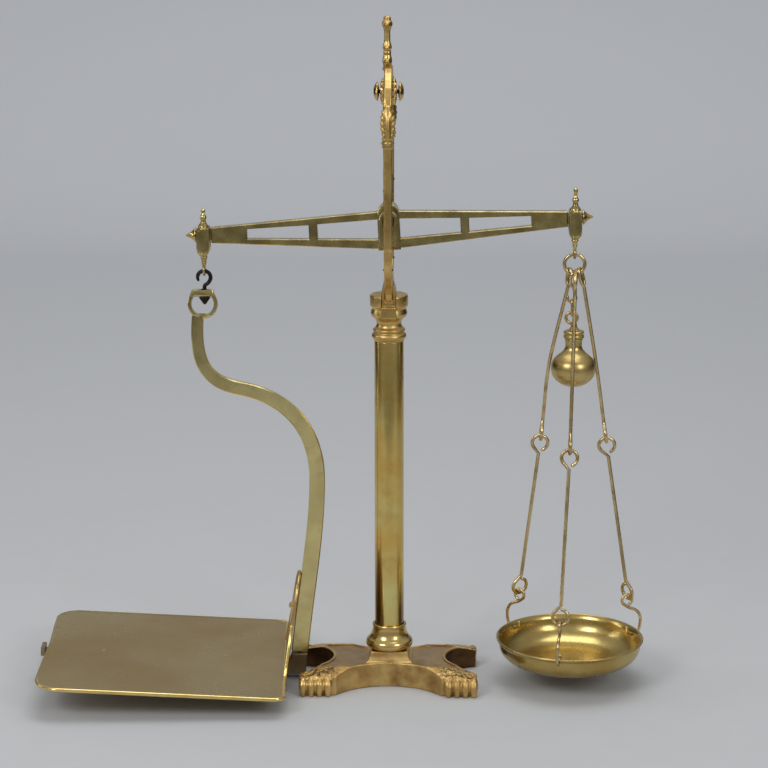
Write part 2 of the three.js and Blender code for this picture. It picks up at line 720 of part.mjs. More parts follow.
function roundedRect(x0, x1, halfY, left, right) {
  const shape = new THREE.Shape();
  shape.moveTo(x1 - right, halfY);
  shape.lineTo(x0 + left, halfY);
  shape.absarc(x0 + left, halfY - left, left, Math.PI / 2, Math.PI, false);
  shape.lineTo(x0, -halfY + left);
  shape.absarc(x0 + left, -halfY + left, left, Math.PI, 1.5 * Math.PI, false);
  shape.lineTo(x1 - right, -halfY);
  shape.absarc(x1 - right, -halfY + right, right, -Math.PI / 2, 0, false);
  shape.lineTo(x1, halfY - right);
  shape.absarc(x1 - right, halfY - right, right, 0, Math.PI / 2, false);
  return shape;
}

// The sheet lies in a tilted frame whose origin is the right edge of its top face.
function buildPlate() {
  const half = PLATE_Y / 2;
  const rim = extruded(roundedRect(-PLATE_X, 0, half, 25, 9), PLATE_EDGE, 0.9, 5);
  rim.translate(0, 0, -PLATE_EDGE / 2);
  const hollow = extruded(roundedRect(-PLATE_X + 4, -4, half - 4, 21, 6), 4, 0, 6);
  hollow.translate(0, 0, -PLATE_SHEET - 2);
  const tab = new THREE.Shape();
  tab.moveTo(-58, -1.6);
  tab.lineTo(58, -1.6);
  tab.bezierCurveTo(52, 14, 34, 22, 30, 44);
  tab.bezierCurveTo(27, 66, 24, 88, 0, 89);
  tab.bezierCurveTo(-24, 88, -27, 66, -30, 44);
  tab.bezierCurveTo(-34, 22, -52, 14, -58, -1.6);
  const upstand = uprightYZ(tab, 2.2, 0.5, 7);
  upstand.rotateY(UPSTAND_LEAN).translate(-1.4, 0, 0);
  const body = join(rim, upstand);
  const seats = [rodZ(-60, 0, -8, -0.6, 2.1, 12), rodZ(-180, 0, -8, -0.6, 2.1, 12)];
  const sheet = onPlate(cut(body, hollow, ...seats));
  const screwHole = rodX(-110, -84, 0, 74, 1.8, 10);
  place('goods_plate', onGoods(cut(sheet, screwHole)), PLATE_BRASS);
}

function buildPlateBar() {
  const top = -PLATE_EDGE - GAP;
  const bar = box(-PLATE_X - 4.4, -2, -8, 8, top - 3.8, top);
  const lip = box(-PLATE_X - 4.4, -PLATE_X - 0.4, -8, 8, top - 3.8, 1.6);
  const bores = [rodZ(-60, 0, -20, 4, 2.1, 12), rodZ(-180, 0, -20, 4, 2.1, 12)];
  const tilted = onPlate(cut(join(bar, lip), ...bores));
  const foot = polygon([
    [-107, 8], [-104, 5.2], [-84.6, 5.2], [-82.2, 8], [-81, 26.2], [-95.6, 26.2],
    [-99.6, 16], [-107, 15.5],
  ]);
  const block = uprightXZ(foot, 16, 0.8, 1);
  const tenon = box(-91, -87, -1.5, 1.5, 20, 37.6);
  place('plate_bar', onGoods(join(tilted, block, tenon)), BEAM_BRASS);
  for (const [name, x] of [['bar_rivet_inner', -60], ['bar_rivet_outer', -180]]) {
    const rivet = turned([
      [0, top - 5.4], [3.2, top - 4.7], [3.4, top - 4.1], [1.8, top - 4.1], [1.8, -0.9],
      [0, -0.9],
    ], 12);
    place(name, onGoods(onPlate(rivet.translate(x, 0, 0))), POLISHED);
  }
  const screw = turned([
    [0, 0], [1.5, 0], [1.5, 8.9], [3.6, 8.9], [3.2, 10.2], [1.6, 11.2], [0, 11.4],
  ], 12);
  screw.rotateY(-Math.PI / 2).translate(-87.2, 0, 74);
  place('upstand_screw', onGoods(screw), IRON);
}

// ---------- pan side ----------
const UP = new THREE.Vector3(0, 0, 1);
const AWAY = new THREE.Vector3(0, 1, 0);

// Each hanger starts on the ring, at an angle from its lowest point.
function ringSeat(angleDeg, offset) {
  const angle = THREE.MathUtils.degToRad(angleDeg);
  const outward = new THREE.Vector3(Math.sin(angle), 0, -Math.cos(angle));
  const centre = new THREE.Vector3(END_X, 0, RING_Z);
  centre.addScaledVector(outward, RING_RADIUS + offset);
  return { centre, outward };
}

// One link: an eye at the top, a shank along the given points, and an eye at the foot.
function eyeToEye(top, shank, bottom, radius) {
  const axis = shank[shank.length - 1].clone().sub(bottom.centre).normalize();
  const finish = bottom.centre.clone().addScaledVector(axis, bottom.radius * 1.5);
  const upper = arc(top.centre, top.axis, top.aside, top.radius, 24, 305, 11);
  const middle = shank.length > 1 ? smooth([...shank, finish], 6) : [...shank, finish];
  const lower = arc(bottom.centre, axis, bottom.aside, bottom.radius, -52, -350, 11);
  return wire([...upper, ...middle, ...lower], radius);
}

// Shank start, the point where it bows round the ball, its joint, and the eye at the foot.
const HANGERS = [
  {
    word: 'left', seat: -51, azimuth: 141.5, across: 30,
    start: [170.4, 1.5], bow: [153.4, 12.6], joint: [146.9, 21.5],
  },
  {
    word: 'front', seat: 17, azimuth: 258.4, across: -8,
    start: [176.4, -9.8], bow: [174.3, -23.4], joint: [172.3, -35.5],
  },
  {
    word: 'right', seat: 51, azimuth: 21.5, across: 124,
    start: [184.8, 2.4], bow: [198.8, 8.2], joint: [209.6, 12.6],
  },
];

function radial(azimuthDeg, distance, height) {
  const angle = THREE.MathUtils.degToRad(azimuthDeg);
  return new THREE.Vector3(PAN_X + distance * Math.cos(angle), distance * Math.sin(angle), height);
}

// A direction across the wire, square to it, that starts from the given heading.
function squareTo(axis, headingDeg) {
  const angle = THREE.MathUtils.degToRad(headingDeg);
  const heading = new THREE.Vector3(Math.cos(angle), Math.sin(angle), 0);
  return heading.addScaledVector(axis, -heading.dot(axis)).normalize();
}

// An almost closed eye on the link, then an S bend over the rim and into its hole.
function panHook(azimuth) {
  const eyeR = 5.2;
  const low = LINK_FOOT_Z - LINK_EYE;
  const crest = low + LINK_WIRE + HOOK_WIRE + 4 * GAP;
  const angle = THREE.MathUtils.degToRad(azimuth);
  const outward = new THREE.Vector3(Math.cos(angle), Math.sin(angle), 0);
  const eye = arc(radial(azimuth, 61.5, crest - eyeR), outward, UP, eyeR, -70, 222, 12);
  const bend = smooth([
    eye[eye.length - 1],
    radial(azimuth, 63, crest - 13),
    radial(azimuth, 71.5, crest - 17),
    radial(azimuth, 76, crest - 23),
    radial(azimuth, 76.4, crest - 31),
    radial(azimuth, 74.6, crest - 38),
    radial(azimuth, 71.4, HOLE_Z + 0.5),
    radial(azimuth, 66.6, HOLE_Z + 0.5),
    radial(azimuth, 63, HOLE_Z + 2.4),
    radial(azimuth, 61.6, HOLE_Z + 7),
  ], 18).slice(1);
  return wire([...eye, ...bend], HOOK_WIRE, 6);
}

function buildHanger({ word, seat, azimuth, start, bow, joint, across }) {
  const topR = 4.9;
  const { centre, outward } = ringSeat(seat, topR - LINK_WIRE - RING_WIRE - GAP);
  const shank = new THREE.Vector3(start[0], start[1], 394);
  const round = new THREE.Vector3(bow[0], bow[1], BALL_Z);
  const middle = new THREE.Vector3(joint[0], joint[1], JOINT_Z);
  const foot = radial(azimuth, 61.5, LINK_FOOT_Z);
  const reach = LINK_EYE - LINK_WIRE - GAP;
  const up = round.clone().sub(middle).normalize();
  const down = foot.clone().sub(middle).normalize();
  const topAside = AWAY.clone().multiplyScalar(Math.sign(-start[1]));
  const upper = eyeToEye(
    { centre, axis: outward, aside: topAside, radius: topR },
    [shank, round],
    { centre: middle.clone().addScaledVector(up, reach), aside: squareTo(up, 90), radius: LINK_EYE },
    LINK_WIRE,
  );
  place(`upper_link_${word}`, upper, WIRE_BRASS);
  const eye = middle.clone().addScaledVector(down, reach);
  const lower = eyeToEye(
    { centre: eye, axis: down, aside: squareTo(down, 0), radius: LINK_EYE },
    [eye.clone().addScaledVector(down, LINK_EYE * 1.5)],
    { centre: foot, aside: squareTo(down, across), radius: LINK_EYE },
    LINK_WIRE,
  );
  place(`lower_link_${word}`, lower, WIRE_BRASS);
  place(`pan_hook_${word}`, panHook(azimuth), WIRE_BRASS);
}

function buildPan() {
  const bowl = turned([
    [0, 13.2], [38, 15.8], [50, 19.4], [60, 23.6], [66, 28.5], [68.8, 34], [69.5, 41],
    [PAN_RADIUS, 43.4], [PAN_RADIUS, PAN_RIM_Z], [70.6, PAN_RIM_Z], [67.4, 41.6], [66.2, 34.8],
    [63.6, 29.9], [58.4, 25.8], [49, 21.9], [37.4, 18.4], [0, 15.8],
  ], 30).translate(PAN_X, 0, 0);
  const bores = HANGERS.map(({ azimuth }) => {
    const bore = rodX(60, 78, 0, HOLE_Z, HOLE_RADIUS, 12);
    return bore.rotateZ(THREE.MathUtils.degToRad(azimuth)).translate(PAN_X, 0, 0);
  });
  place('weights_pan', cut(bowl, ...bores), POLISHED);
}

function buildBall() {
  const seatR = 4.2;
  const wireR = 1.3;
  const { centre, outward } = ringSeat(-17, seatR - wireR - RING_WIRE - GAP);
  const bend = arc(centre, outward, AWAY, seatR, 30, 305, 10);
  const lead = smooth([
    new THREE.Vector3(centre.x - 0.6, -0.8, centre.z - 6.6),
    new THREE.Vector3(centre.x + 1, BALL_Y, centre.z - 10.5),
    new THREE.Vector3(BALL_EYE_X + 2.6, BALL_Y, 388.6),
  ], 4);
  const right = new THREE.Vector3(1, 0, 0);
  const hookCentre = new THREE.Vector3(BALL_EYE_X, BALL_Y, 382.6);
  const catchArc = arc(hookCentre, right, UP, 4, 40, -200, 10);
  place('ball_hook', wire([...bend, ...lead, ...catchArc], wireR), WIRE_BRASS);
  const linkTop = hookCentre.z - 4 + wireR + 1.2 + GAP;
  const linkLow = 365.9;
  const bow = (height, from, to) => {
    return arc(new THREE.Vector3(BALL_EYE_X, BALL_Y, height), AWAY, UP, 3.2, from, to, 7);
  };
  const oval = [...bow(linkTop - 3.2, 8, 180), ...bow(linkLow + 3.2, 180, 352)];
  place('ball_link', wire(oval, 1.2), WIRE_BRASS);
  const neckTop = 344;
  const shell = turned([
    [0, BALL_Z - 18.2], [8.6, BALL_Z - 16.8], [16.2, BALL_Z - 12], [20.8, BALL_Z - 5],
    [BALL_RADIUS, BALL_Z + 0.6], [20.4, BALL_Z + 7.4], [15.6, BALL_Z + 14], [10.2, BALL_Z + 18.2],
    [8, BALL_Z + 21.6], [7.8, neckTop - 1.4], [9, neckTop], [6.5, neckTop], [6.5, BALL_Z + 19.2],
    [14.4, BALL_Z + 12.8], [19, BALL_Z + 6.8], [20, BALL_Z + 0.6], [19.4, BALL_Z - 4.4],
    [15.2, BALL_Z - 10.8], [8, BALL_Z - 15.2], [0, BALL_Z - 16.6],
  ], 22);
  place('tare_ball', shell.translate(BALL_X, BALL_Y, 0), POLISHED);
  const lidBody = turned([
    [0, 336.6], [6.1, 336.6], [6.1, neckTop + GAP], [9.6, neckTop + GAP], [9.8, 347],
    [9.2, 350.4], [5, 352.6], [2.6, 353.6], [2.6, 358], [0, 358],
  ], 20);
  const eye = ringXZ(BALL_EYE_X - BALL_X, 363.6, 5.3, 1.5, 16);
  place('tare_ball_lid', join(lidBody, eye).translate(BALL_X, BALL_Y, 0), POLISHED);
  const slug = turned([
    [0, BALL_Z - 16], [7.2, BALL_Z - 14.6], [14.2, BALL_Z - 10.2], [18.4, BALL_Z - 4.4],
    [19, BALL_Z + 0.6], [18, BALL_Z + 5.6], [0, BALL_Z + 5.6],
  ], 16);
  place('lead_shot', slug.translate(BALL_X, BALL_Y, 0), LEAD);
}

// ---------- assembly ----------
buildBase();
buildColumn();
buildCapital();
buildFrame();
buildFrameTrim();
buildBeam();
boxEnd('left', -END_X, LEFT_Z, 25);
boxEnd('right', END_X, RIGHT_Z, 28.4);
buildHook();
buildGoodsArm();
buildPlate();
buildPlateBar();
place('hanging_ring', ringXZ(END_X, RING_Z, RING_RADIUS, RING_WIRE), WIRE_BRASS);
HANGERS.forEach(buildHanger);
buildPan();
buildBall();

export default scale;
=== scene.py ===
# Brass counter scale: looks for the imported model. Lengths inside the helpers are millimetres.
import math
import bmesh
import bpy
from mathutils import Matrix, Vector
from mathutils.geometry import tessellate_polygon


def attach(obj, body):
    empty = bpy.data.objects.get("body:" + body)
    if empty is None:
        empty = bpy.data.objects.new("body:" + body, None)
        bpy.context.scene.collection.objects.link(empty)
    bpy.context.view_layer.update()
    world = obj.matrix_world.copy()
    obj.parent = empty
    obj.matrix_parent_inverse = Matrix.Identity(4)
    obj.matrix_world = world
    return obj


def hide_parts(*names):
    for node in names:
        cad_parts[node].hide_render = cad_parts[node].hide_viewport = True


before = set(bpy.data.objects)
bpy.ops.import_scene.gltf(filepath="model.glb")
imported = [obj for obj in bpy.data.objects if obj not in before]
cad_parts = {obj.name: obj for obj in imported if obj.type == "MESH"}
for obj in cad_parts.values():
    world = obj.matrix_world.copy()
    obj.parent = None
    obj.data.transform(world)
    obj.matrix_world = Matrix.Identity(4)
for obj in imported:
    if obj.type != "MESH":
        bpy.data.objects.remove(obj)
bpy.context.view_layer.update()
MM = 0.001
V = Vector
X, Y, Z = V((1, 0, 0)), V((0, 1, 0)), V((0, 0, 1))


# ---------- measures shared with part.mjs ----------
GAP = 0.3
FULCRUM_Z = 452.5
TILT = math.radians(2.8)
ARM = 176.0
END_X = ARM * math.cos(TILT)
LEFT_Z = FULCRUM_Z - ARM * math.sin(TILT)
RIGHT_Z = FULCRUM_Z + ARM * math.sin(TILT)
TIP_X = 182.9
EYE_DROP = 35.2  # from a box end's knife edge down to the centre of its eye
EYE_HOLE = 2.9
RING_RADIUS = 9.6
RING_WIRE = 1.6
RING_Z = RIGHT_Z - EYE_DROP - EYE_HOLE + GAP + RING_WIRE - RING_RADIUS
IRON_WIRE = 1.9
GOODS_TURN = 2.6  # degrees the arm and the plate are turned about the iron hook
POST_Y = 41
BOSS_Z = 578.5
COLLAR_Z = 34.3
CAPITAL_Z = 341.3
PLATE_WIDE, PLATE_DEEP = 237.0, 234.0
PLATE_TILT = 3.3
PAN_X = 176.8
HOOK_SEAT = 61.5  # from the pan's axis to the feet of the links
HOLE_Z = 39.6
HOLE_RADIUS = 2.2
LINK_EYE = 7.6
LINK_WIRE = 1.5
LINK_FOOT_Z = 84.5
JOINT_Z = 241
HOOK_WIRE = 1.3
BALL = V((176.2, 0.6, 314.6))
BALL_EYE_X = 173.8
BALL_WIRE = 1.3
SHACKLE_WIRE = 1.2
SHACKLE_TURN = 3.2

# ---------- drawn a little fatter than the CAD, as photographed ----------
LINK_EXTRA = 0.15
HOOK_EXTRA = 0.2
RING_DRAWN = 1.75
RIM_BEAD = 2.0
TAB_BEAD = 1.9


# ---------- mesh helpers ----------
class Form:
    """Collects closed shells in millimetres and turns them into one object."""

    def __init__(self):
        self.verts = []
        self.faces = []

    def add(self, verts, faces, matrix=None):
        base = len(self.verts)
        for v in verts:
            p = V(v)
            self.verts.append(matrix @ p if matrix else p)
        self.faces.extend([[base + i for i in f] for f in faces])
        return self

    def absorb(self, obj):
        """Takes over an object's mesh and removes the object."""
        mesh = obj.data
        self.add([v.co / MM for v in mesh.vertices], [list(p.vertices) for p in mesh.polygons])
        bpy.data.objects.remove(obj)
        bpy.data.meshes.remove(mesh)
        return self

    def object(self, name, sharp=35.0, weld=True):
        mesh = bpy.data.meshes.new(name)
        mesh.from_pydata([v * MM for v in self.verts], [], self.faces)
        mesh.validate()
        bm = bmesh.new()
        bm.from_mesh(mesh)
        if weld:
            bmesh.ops.remove_doubles(bm, verts=bm.verts, dist=1e-6)
        bmesh.ops.recalc_face_normals(bm, faces=bm.faces)
        bm.to_mesh(mesh)
        bm.free()
        obj = bpy.data.objects.new(name, mesh)
        bpy.context.scene.collection.objects.link(obj)
        shade(obj, sharp)
        return obj


def shade(obj, sharp):
    mesh = obj.data
    for poly in mesh.polygons:
        poly.use_smooth = True
    mesh.set_sharp_from_angle(angle=math.radians(sharp))


def band(a, b):
    """Quads between two rings that have one vertex count."""
    after = 1 - len(a)
    return [[a[k], a[k + after], b[k + after], b[k]] for k in range(len(a))]


def rounded(profile, radius, closed):
    """Corners of a profile turned into small arcs."""
    count = len(profile)
    points = []
    for i, p in enumerate(profile):
        here = V((p[0], p[1]))
        if not closed and i in (0, count - 1):
            points.append(here)
            continue
        before = V(profile[i - 1][:2])
        after = V(profile[(i + 1) % count][:2])
        back, on = before - here, after - here
        cut = min(radius, 0.42 * back.length, 0.42 * on.length)
        if cut < 0.02:
            points.append(here)
            continue
        a = here + back.normalized() * cut
        b = here + on.normalized() * cut
        for k in range(4):
            t = k / 3
            points.append(a * (1 - t) ** 2 + here * (2 * t * (1 - t)) + b * t * t)
    return points


def lathe(profile, sides=72, radius=0.6):
    """A profile of radius and height turned about Z. It ends on the axis, or closes on itself."""
    closed = profile[0][0] > 1e-6
    points = rounded(profile, radius, closed)
    verts, faces, rows = [], [], []
    for p in points:
        if p.x < 1e-6:
            rows.append([len(verts)])
            verts.append((0, 0, p.y))
            continue
        rows.append(list(range(len(verts), len(verts) + sides)))
        for k in range(sides):
            a = 2 * math.pi * k / sides
            verts.append((p.x * math.cos(a), p.x * math.sin(a), p.y))
    pairs = list(zip(rows, rows[1:]))
    if closed:
        pairs.append((rows[-1], rows[0]))
    for lower, upper in pairs:
        if len(lower) == len(upper) == sides:
            faces += band(lower, upper)
        elif len(upper) == sides:
            faces += [[lower[0], upper[k + 1 - sides], upper[k]] for k in range(sides)]
        elif len(lower) == sides:
            faces += [[lower[k], lower[k + 1 - sides], upper[0]] for k in range(sides)]
    return verts, faces


def rod(radius, low, high, sides, rounding=0):
    return lathe([(0, low), (radius, low), (radius, high), (0, high)], sides, rounding)


def lifted(profile, low):
    return [(radius, low + height) for radius, height in profile]


def tube(points, radius, sides=16, taper=None):
    """A round wire along the points, with domed ends."""
    pts = [V(p) for p in points]
    count = len(pts)
    tangents = []
    for i in range(count):
        a, b = pts[max(i - 1, 0)], pts[min(i + 1, count - 1)]
        tangents.append((b - a).normalized())
    side = tangents[0].orthogonal().normalized()
    verts, faces = [], []

    def ring(centre, u, w, r):
        start = len(verts)
        for k in range(sides):
            a = 2 * math.pi * k / sides
            verts.append(centre + u * (r * math.cos(a)) + w * (r * math.sin(a)))
        return list(range(start, start + sides))

    rings = []
    for i, (p, t) in enumerate(zip(pts, tangents)):
        side = (side - t * side.dot(t)).normalized()
        other = t.cross(side)
        r = radius * (taper(i / (count - 1)) if taper else 1)
        if i == 0:
            for back, shrink in ((0.9, 0.35), (0.55, 0.8)):
                rings.append(ring(p - t * (r * back), side, other, r * shrink))
        rings.append(ring(p, side, other, r))
        if i == count - 1:
            for on, shrink in ((0.55, 0.8), (0.9, 0.35)):
                rings.append(ring(p + t * (r * on), side, other, r * shrink))
    for a, b in zip(rings, rings[1:]):
        faces += band(a, b)
    return verts, faces + [rings[0][::-1], rings[-1]]


def arc(centre, along, aside, radius, start, stop, steps):
    points = []
    for i in range(steps + 1):
        a = math.radians(start + (stop - start) * i / steps)
        points.append(centre + along * (radius * math.cos(a)) + aside * (radius * math.sin(a)))
    return points


def smooth(points, steps):
    """A centripetal spline through the points."""
    pts = [V(p) for p in points]
    pts = [pts[0] * 2 - pts[1]] + pts + [pts[-1] * 2 - pts[-2]]
    out = []
    for i in range(1, len(pts) - 2):
        p0, p1, p2, p3 = pts[i - 1:i + 3]
        t0 = 0.0
        t1 = t0 + max((p1 - p0).length ** 0.5, 1e-6)
        t2 = t1 + max((p2 - p1).length ** 0.5, 1e-6)
        t3 = t2 + max((p3 - p2).length ** 0.5, 1e-6)
        for k in range(steps):
            t = t1 + (t2 - t1) * k / steps
            a1 = p0 * ((t1 - t) / (t1 - t0)) + p1 * ((t - t0) / (t1 - t0))
            a2 = p1 * ((t2 - t) / (t2 - t1)) + p2 * ((t - t1) / (t2 - t1))
            a3 = p2 * ((t3 - t) / (t3 - t2)) + p3 * ((t - t2) / (t3 - t2))
            b1 = a1 * ((t2 - t) / (t2 - t0)) + a2 * ((t - t0) / (t2 - t0))
            b2 = a2 * ((t3 - t) / (t3 - t1)) + a3 * ((t - t1) / (t3 - t1))
            out.append(b1 * ((t2 - t) / (t2 - t1)) + b2 * ((t - t1) / (t2 - t1)))
    out.append(pts[-2].copy())
    return out


def torus(centre, along, aside, radius, wire, around=56, sides=16):
    normal = along.cross(aside)
    verts, faces = [], []
    for i in range(around):
        a = 2 * math.pi * i / around
        out = along * math.cos(a) + aside * math.sin(a)
        for k in range(sides):
            b = 2 * math.pi * k / sides
            verts.append(centre + out * (radius + wire * math.cos(b)) + normal * (wire * math.sin(b)))
    rings = [range(i * sides, (i + 1) * sides) for i in range(around)]
    for a, b in zip(rings, rings[1:] + rings[:1]):
        faces += band(a, b)
    return verts, faces


def prism(outline, low, high, u=X, v=Z, w=Y):
    """An outline in the u, v plane pushed from low to high along w."""
    pts = [V(p) for p in outline]
    flat = [V((p.x, p.y, 0)) for p in pts]
    count = len(pts)
    verts = [u * p.x + v * p.y + w * low for p in pts]
    verts += [u * p.x + v * p.y + w * high for p in pts]
    caps = tessellate_polygon([flat])
    faces = [list(f) for f in caps] + [[i + count for i in reversed(f)] for f in caps]
    return verts, faces + band(range(count), range(count, 2 * count))


def ball(centre, size, rings=14, segments=20, matrix=None):
    profile = []
    for i in range(rings + 1):
        a = -math.pi / 2 + math.pi * i / rings
        profile.append((max(math.cos(a), 0.0), math.sin(a)))
    profile[0], profile[-1] = (0.0, -1.0), (0.0, 1.0)
    verts, faces = lathe(profile, segments, 0.0)
    turn, grow = matrix or Matrix.Identity(4), V(size)
    return [turn @ (V(v) * grow) + V(centre) for v in verts], faces


def along_x(x, y, z, side=1):
    """Turns a lathe form so that its Z runs along X."""
    return Matrix.Translation((x, y, z)) @ Matrix.Rotation(side * math.pi / 2, 4, "Y")


def keep(obj, kind, **values):
    """Applies a modifier for good."""
    mod = obj.modifiers.new(kind.lower(), kind)
    for key, value in values.items():
        setattr(mod, key, value)
    graph = bpy.context.evaluated_depsgraph_get()
    graph.update()
    mesh = bpy.data.meshes.new_from_object(obj.evaluated_get(graph))
    obj.modifiers.clear()
    old = obj.data
    obj.data = mesh
    bpy.data.meshes.remove(old)


def carve(obj, *cutters):
    for cutter in cutters:
        keep(obj, "BOOLEAN", operation="DIFFERENCE", solver="EXACT", object=cutter)
    for cutter in cutters:
        mesh = cutter.data
        bpy.data.objects.remove(cutter)
        bpy.data.meshes.remove(mesh)


def block(low, high):
    form = Form()
    outline = [(low[0], low[2]), (high[0], low[2]), (high[0], high[2]), (low[0], high[2])]
    form.add(*prism(outline, low[1], high[1]))
    return form.object("cutter")


def cast(obj, voxel):
    """Fuses overlapping shells into one softly rounded cast skin."""
    keep(obj, "REMESH", mode="VOXEL", voxel_size=voxel * MM)
    keep(obj, "SMOOTH", factor=0.5, iterations=2)


# ---------- materials ----------
class Nodes:
    """Short names for the shader nodes of one material, or of one world."""

    def __init__(self, name, store=bpy.data.materials, shader="Principled BSDF", place="Object"):
        self.owner = store.new(name)
        self.owner.use_nodes = True
        self.tree = self.owner.node_tree
        self.shader = self.tree.nodes[shader]
        self.place = self.new("ShaderNodeTexCoord").outputs[place]

    def new(self, kind, **values):
        node = self.tree.nodes.new(kind)
        for key, value in values.items():
            setattr(node, key, value)
        return node

    def link(self, a, b):
        self.tree.links.new(a, b)

    def stretch(self, scale):
        node = self.new("ShaderNodeMapping")
        node.inputs["Scale"].default_value = scale
        self.link(self.place, node.inputs["Vector"])
        return node.outputs["Vector"]

    def noise(self, scale, detail=4.0, rough=0.55, stretch=None):
        node = self.new("ShaderNodeTexNoise")
        node.inputs["Scale"].default_value = scale
        node.inputs["Detail"].default_value = detail
        node.inputs["Roughness"].default_value = rough
        self.link(self.stretch(stretch) if stretch else self.place, node.inputs["Vector"])
        return node.outputs["Fac"]

    def ramp(self, value, low, high, start=0.0, end=1.0):
        node = self.new("ShaderNodeMapRange")
        node.interpolation_type = "SMOOTHSTEP"
        for key, number in zip(("From Min", "From Max", "To Min", "To Max"), (low, high, start, end)):
            node.inputs[key].default_value = number
        self.link(value, node.inputs["Value"])
        return node.outputs["Result"]

    def mix(self, factor, a, b):
        node = self.new("ShaderNodeMix", data_type="RGBA")
        self.link(factor, node.inputs["Factor"])
        for key, colour in (("A", a), ("B", b)):
            socket = [s for s in node.inputs if s.name == key and s.type == "RGBA"][0]
            if isinstance(colour, tuple):
                socket.default_value = (*colour, 1)
            else:
                self.link(colour, socket)
        return [s for s in node.outputs if s.type == "RGBA"][0]

    def maths(self, kind, a, b=0.0):
        node = self.new("ShaderNodeMath", operation=kind)
        for socket, value in zip(node.inputs, (a, b)):
            if isinstance(value, (int, float)):
                socket.default_value = value
            else:
                self.link(value, socket)
        return node.outputs[0]

    def bump(self, height, distance, normal=None):
        """Relief with a depth in millimetres."""
        node = self.new("ShaderNodeBump")
        node.inputs["Distance"].default_value = distance * MM
        self.link(height, node.inputs["Height"])
        if normal:
            self.link(normal, node.inputs["Normal"])
        return node.outputs["Normal"]

    def axis(self, letter):
        node = self.new("ShaderNodeSeparateXYZ")
        self.link(self.place, node.inputs[0])
        return node.outputs[letter]


def ankle_mask(n):
    """The carved band above the toes, in metres from the centre of the base."""
    beside, ahead = n.maths("ABSOLUTE", n.axis("X")), n.maths("ABSOLUTE", n.axis("Y"))
    band = n.maths("MULTIPLY", n.ramp(ahead, 0.030, 0.035), n.ramp(ahead, 0.0505, 0.0465, 0.12))
    return n.maths("MULTIPLY", n.ramp(beside, 0.046, 0.056), band)


def painted_reflection_mask(n):
    """Painted dark reflections, drawn as dark streaks up both sides of the column's foot. The left one is
    wider and taller.
    """
    lean = n.maths("MULTIPLY", n.axis("Z"), 0.035)
    left = n.maths("MULTIPLY", n.ramp(n.maths("ADD", n.axis("X"), lean), -0.0022, -0.0036),
                   n.ramp(n.axis("Z"), 0.15, 0.095))
    right = n.maths("MULTIPLY", n.ramp(n.maths("SUBTRACT", n.axis("X"), lean), 0.0065, 0.0085),
                    n.ramp(n.axis("Z"), 0.13, 0.06))
    return n.maths("MAXIMUM", left, right)


def metal(name, bright, deep, stain, rough, spread=0.1, stains=0.5, grain=None, pits=0.0, ripple=0.0,
          edges=0.35, stain_scale=28.0, mottle=60.0, groove=0.02, carved=False, painted_dark_reflection=False):
    """Mottled colour from bright to deep, brown stains, worn edges, grain lines and pits, with optional
    painted dark reflections and painted shade in carving.

    rough is the middle roughness and spread its range. Noise scales are per metre, depths are millimetres.
    """
    n = Nodes(name)
    mottled = n.mix(n.ramp(n.noise(mottle, 5.0), 0.32, 0.68), bright, deep)
    soil = n.ramp(n.noise(stain_scale, 7.0, 0.62), 0.5, 0.74, 0.0, stains)
    colour = n.mix(soil, mottled, stain)
    normal = None
    if edges:
        sharp = n.new("ShaderNodeNewGeometry").outputs["Pointiness"]
        worn = tuple(min(1.0, c * 1.25) for c in bright)
        colour = n.mix(n.ramp(sharp, 0.515, 0.6, 0.0, edges), colour, worn)
        colour = n.mix(n.ramp(sharp, 0.485, 0.42, 0.0, min(1.0, edges * 1.8)), colour, stain)
    # Painted reflection: dark streaks in the stain colour stand in for dark reflections on the column.
    if painted_dark_reflection:
        colour = n.mix(n.maths("MULTIPLY", painted_reflection_mask(n), 0.85), colour, stain)
    if carved:
        ankle, leafy = ankle_mask(n), n.noise(230.0, 2.0, 0.5, stretch=(1, 1, 0.6))
        # Painted shade: the low spots of the bump-only carving are darkened towards the stain colour.
        painted_pit_shade = n.maths("MULTIPLY", n.ramp(leafy, 0.47, 0.39), ankle)
        colour = n.mix(n.maths("MULTIPLY", painted_pit_shade, 0.85), colour, stain)
        normal = n.bump(n.maths("MULTIPLY", n.ramp(leafy, 0.36, 0.62), ankle), 1.6)
    n.link(colour, n.shader.inputs["Base Color"])
    n.shader.inputs["Metallic"].default_value = 1.0
    fine, smear = n.noise(420.0, 3.0), n.noise(35.0, 4.0, 0.6)
    level = n.maths("ADD", n.ramp(smear, 0.3, 0.7, rough - spread / 2, rough + spread / 2),
                    n.maths("MULTIPLY", soil, 0.25))
    level = n.maths("ADD", level, n.ramp(fine, 0.3, 0.7, -0.015, 0.015))
    n.link(level, n.shader.inputs["Roughness"])
    if ripple:
        normal = n.bump(n.noise(45.0, 2.0), ripple)
    if grain:
        normal = n.bump(n.noise(300.0, 3.0, 0.7, stretch=grain), groove, normal)
    if pits:
        holes, lumps = n.noise(900.0, 6.0, 0.75), n.noise(240.0, 4.0, 0.6)
        normal = n.bump(n.maths("ADD", n.maths("MULTIPLY", holes, 0.6), lumps), pits, normal)
    if normal is None:
        normal = n.bump(fine, 0.004)
    n.link(normal, n.shader.inputs["Normal"])
    return n.owner


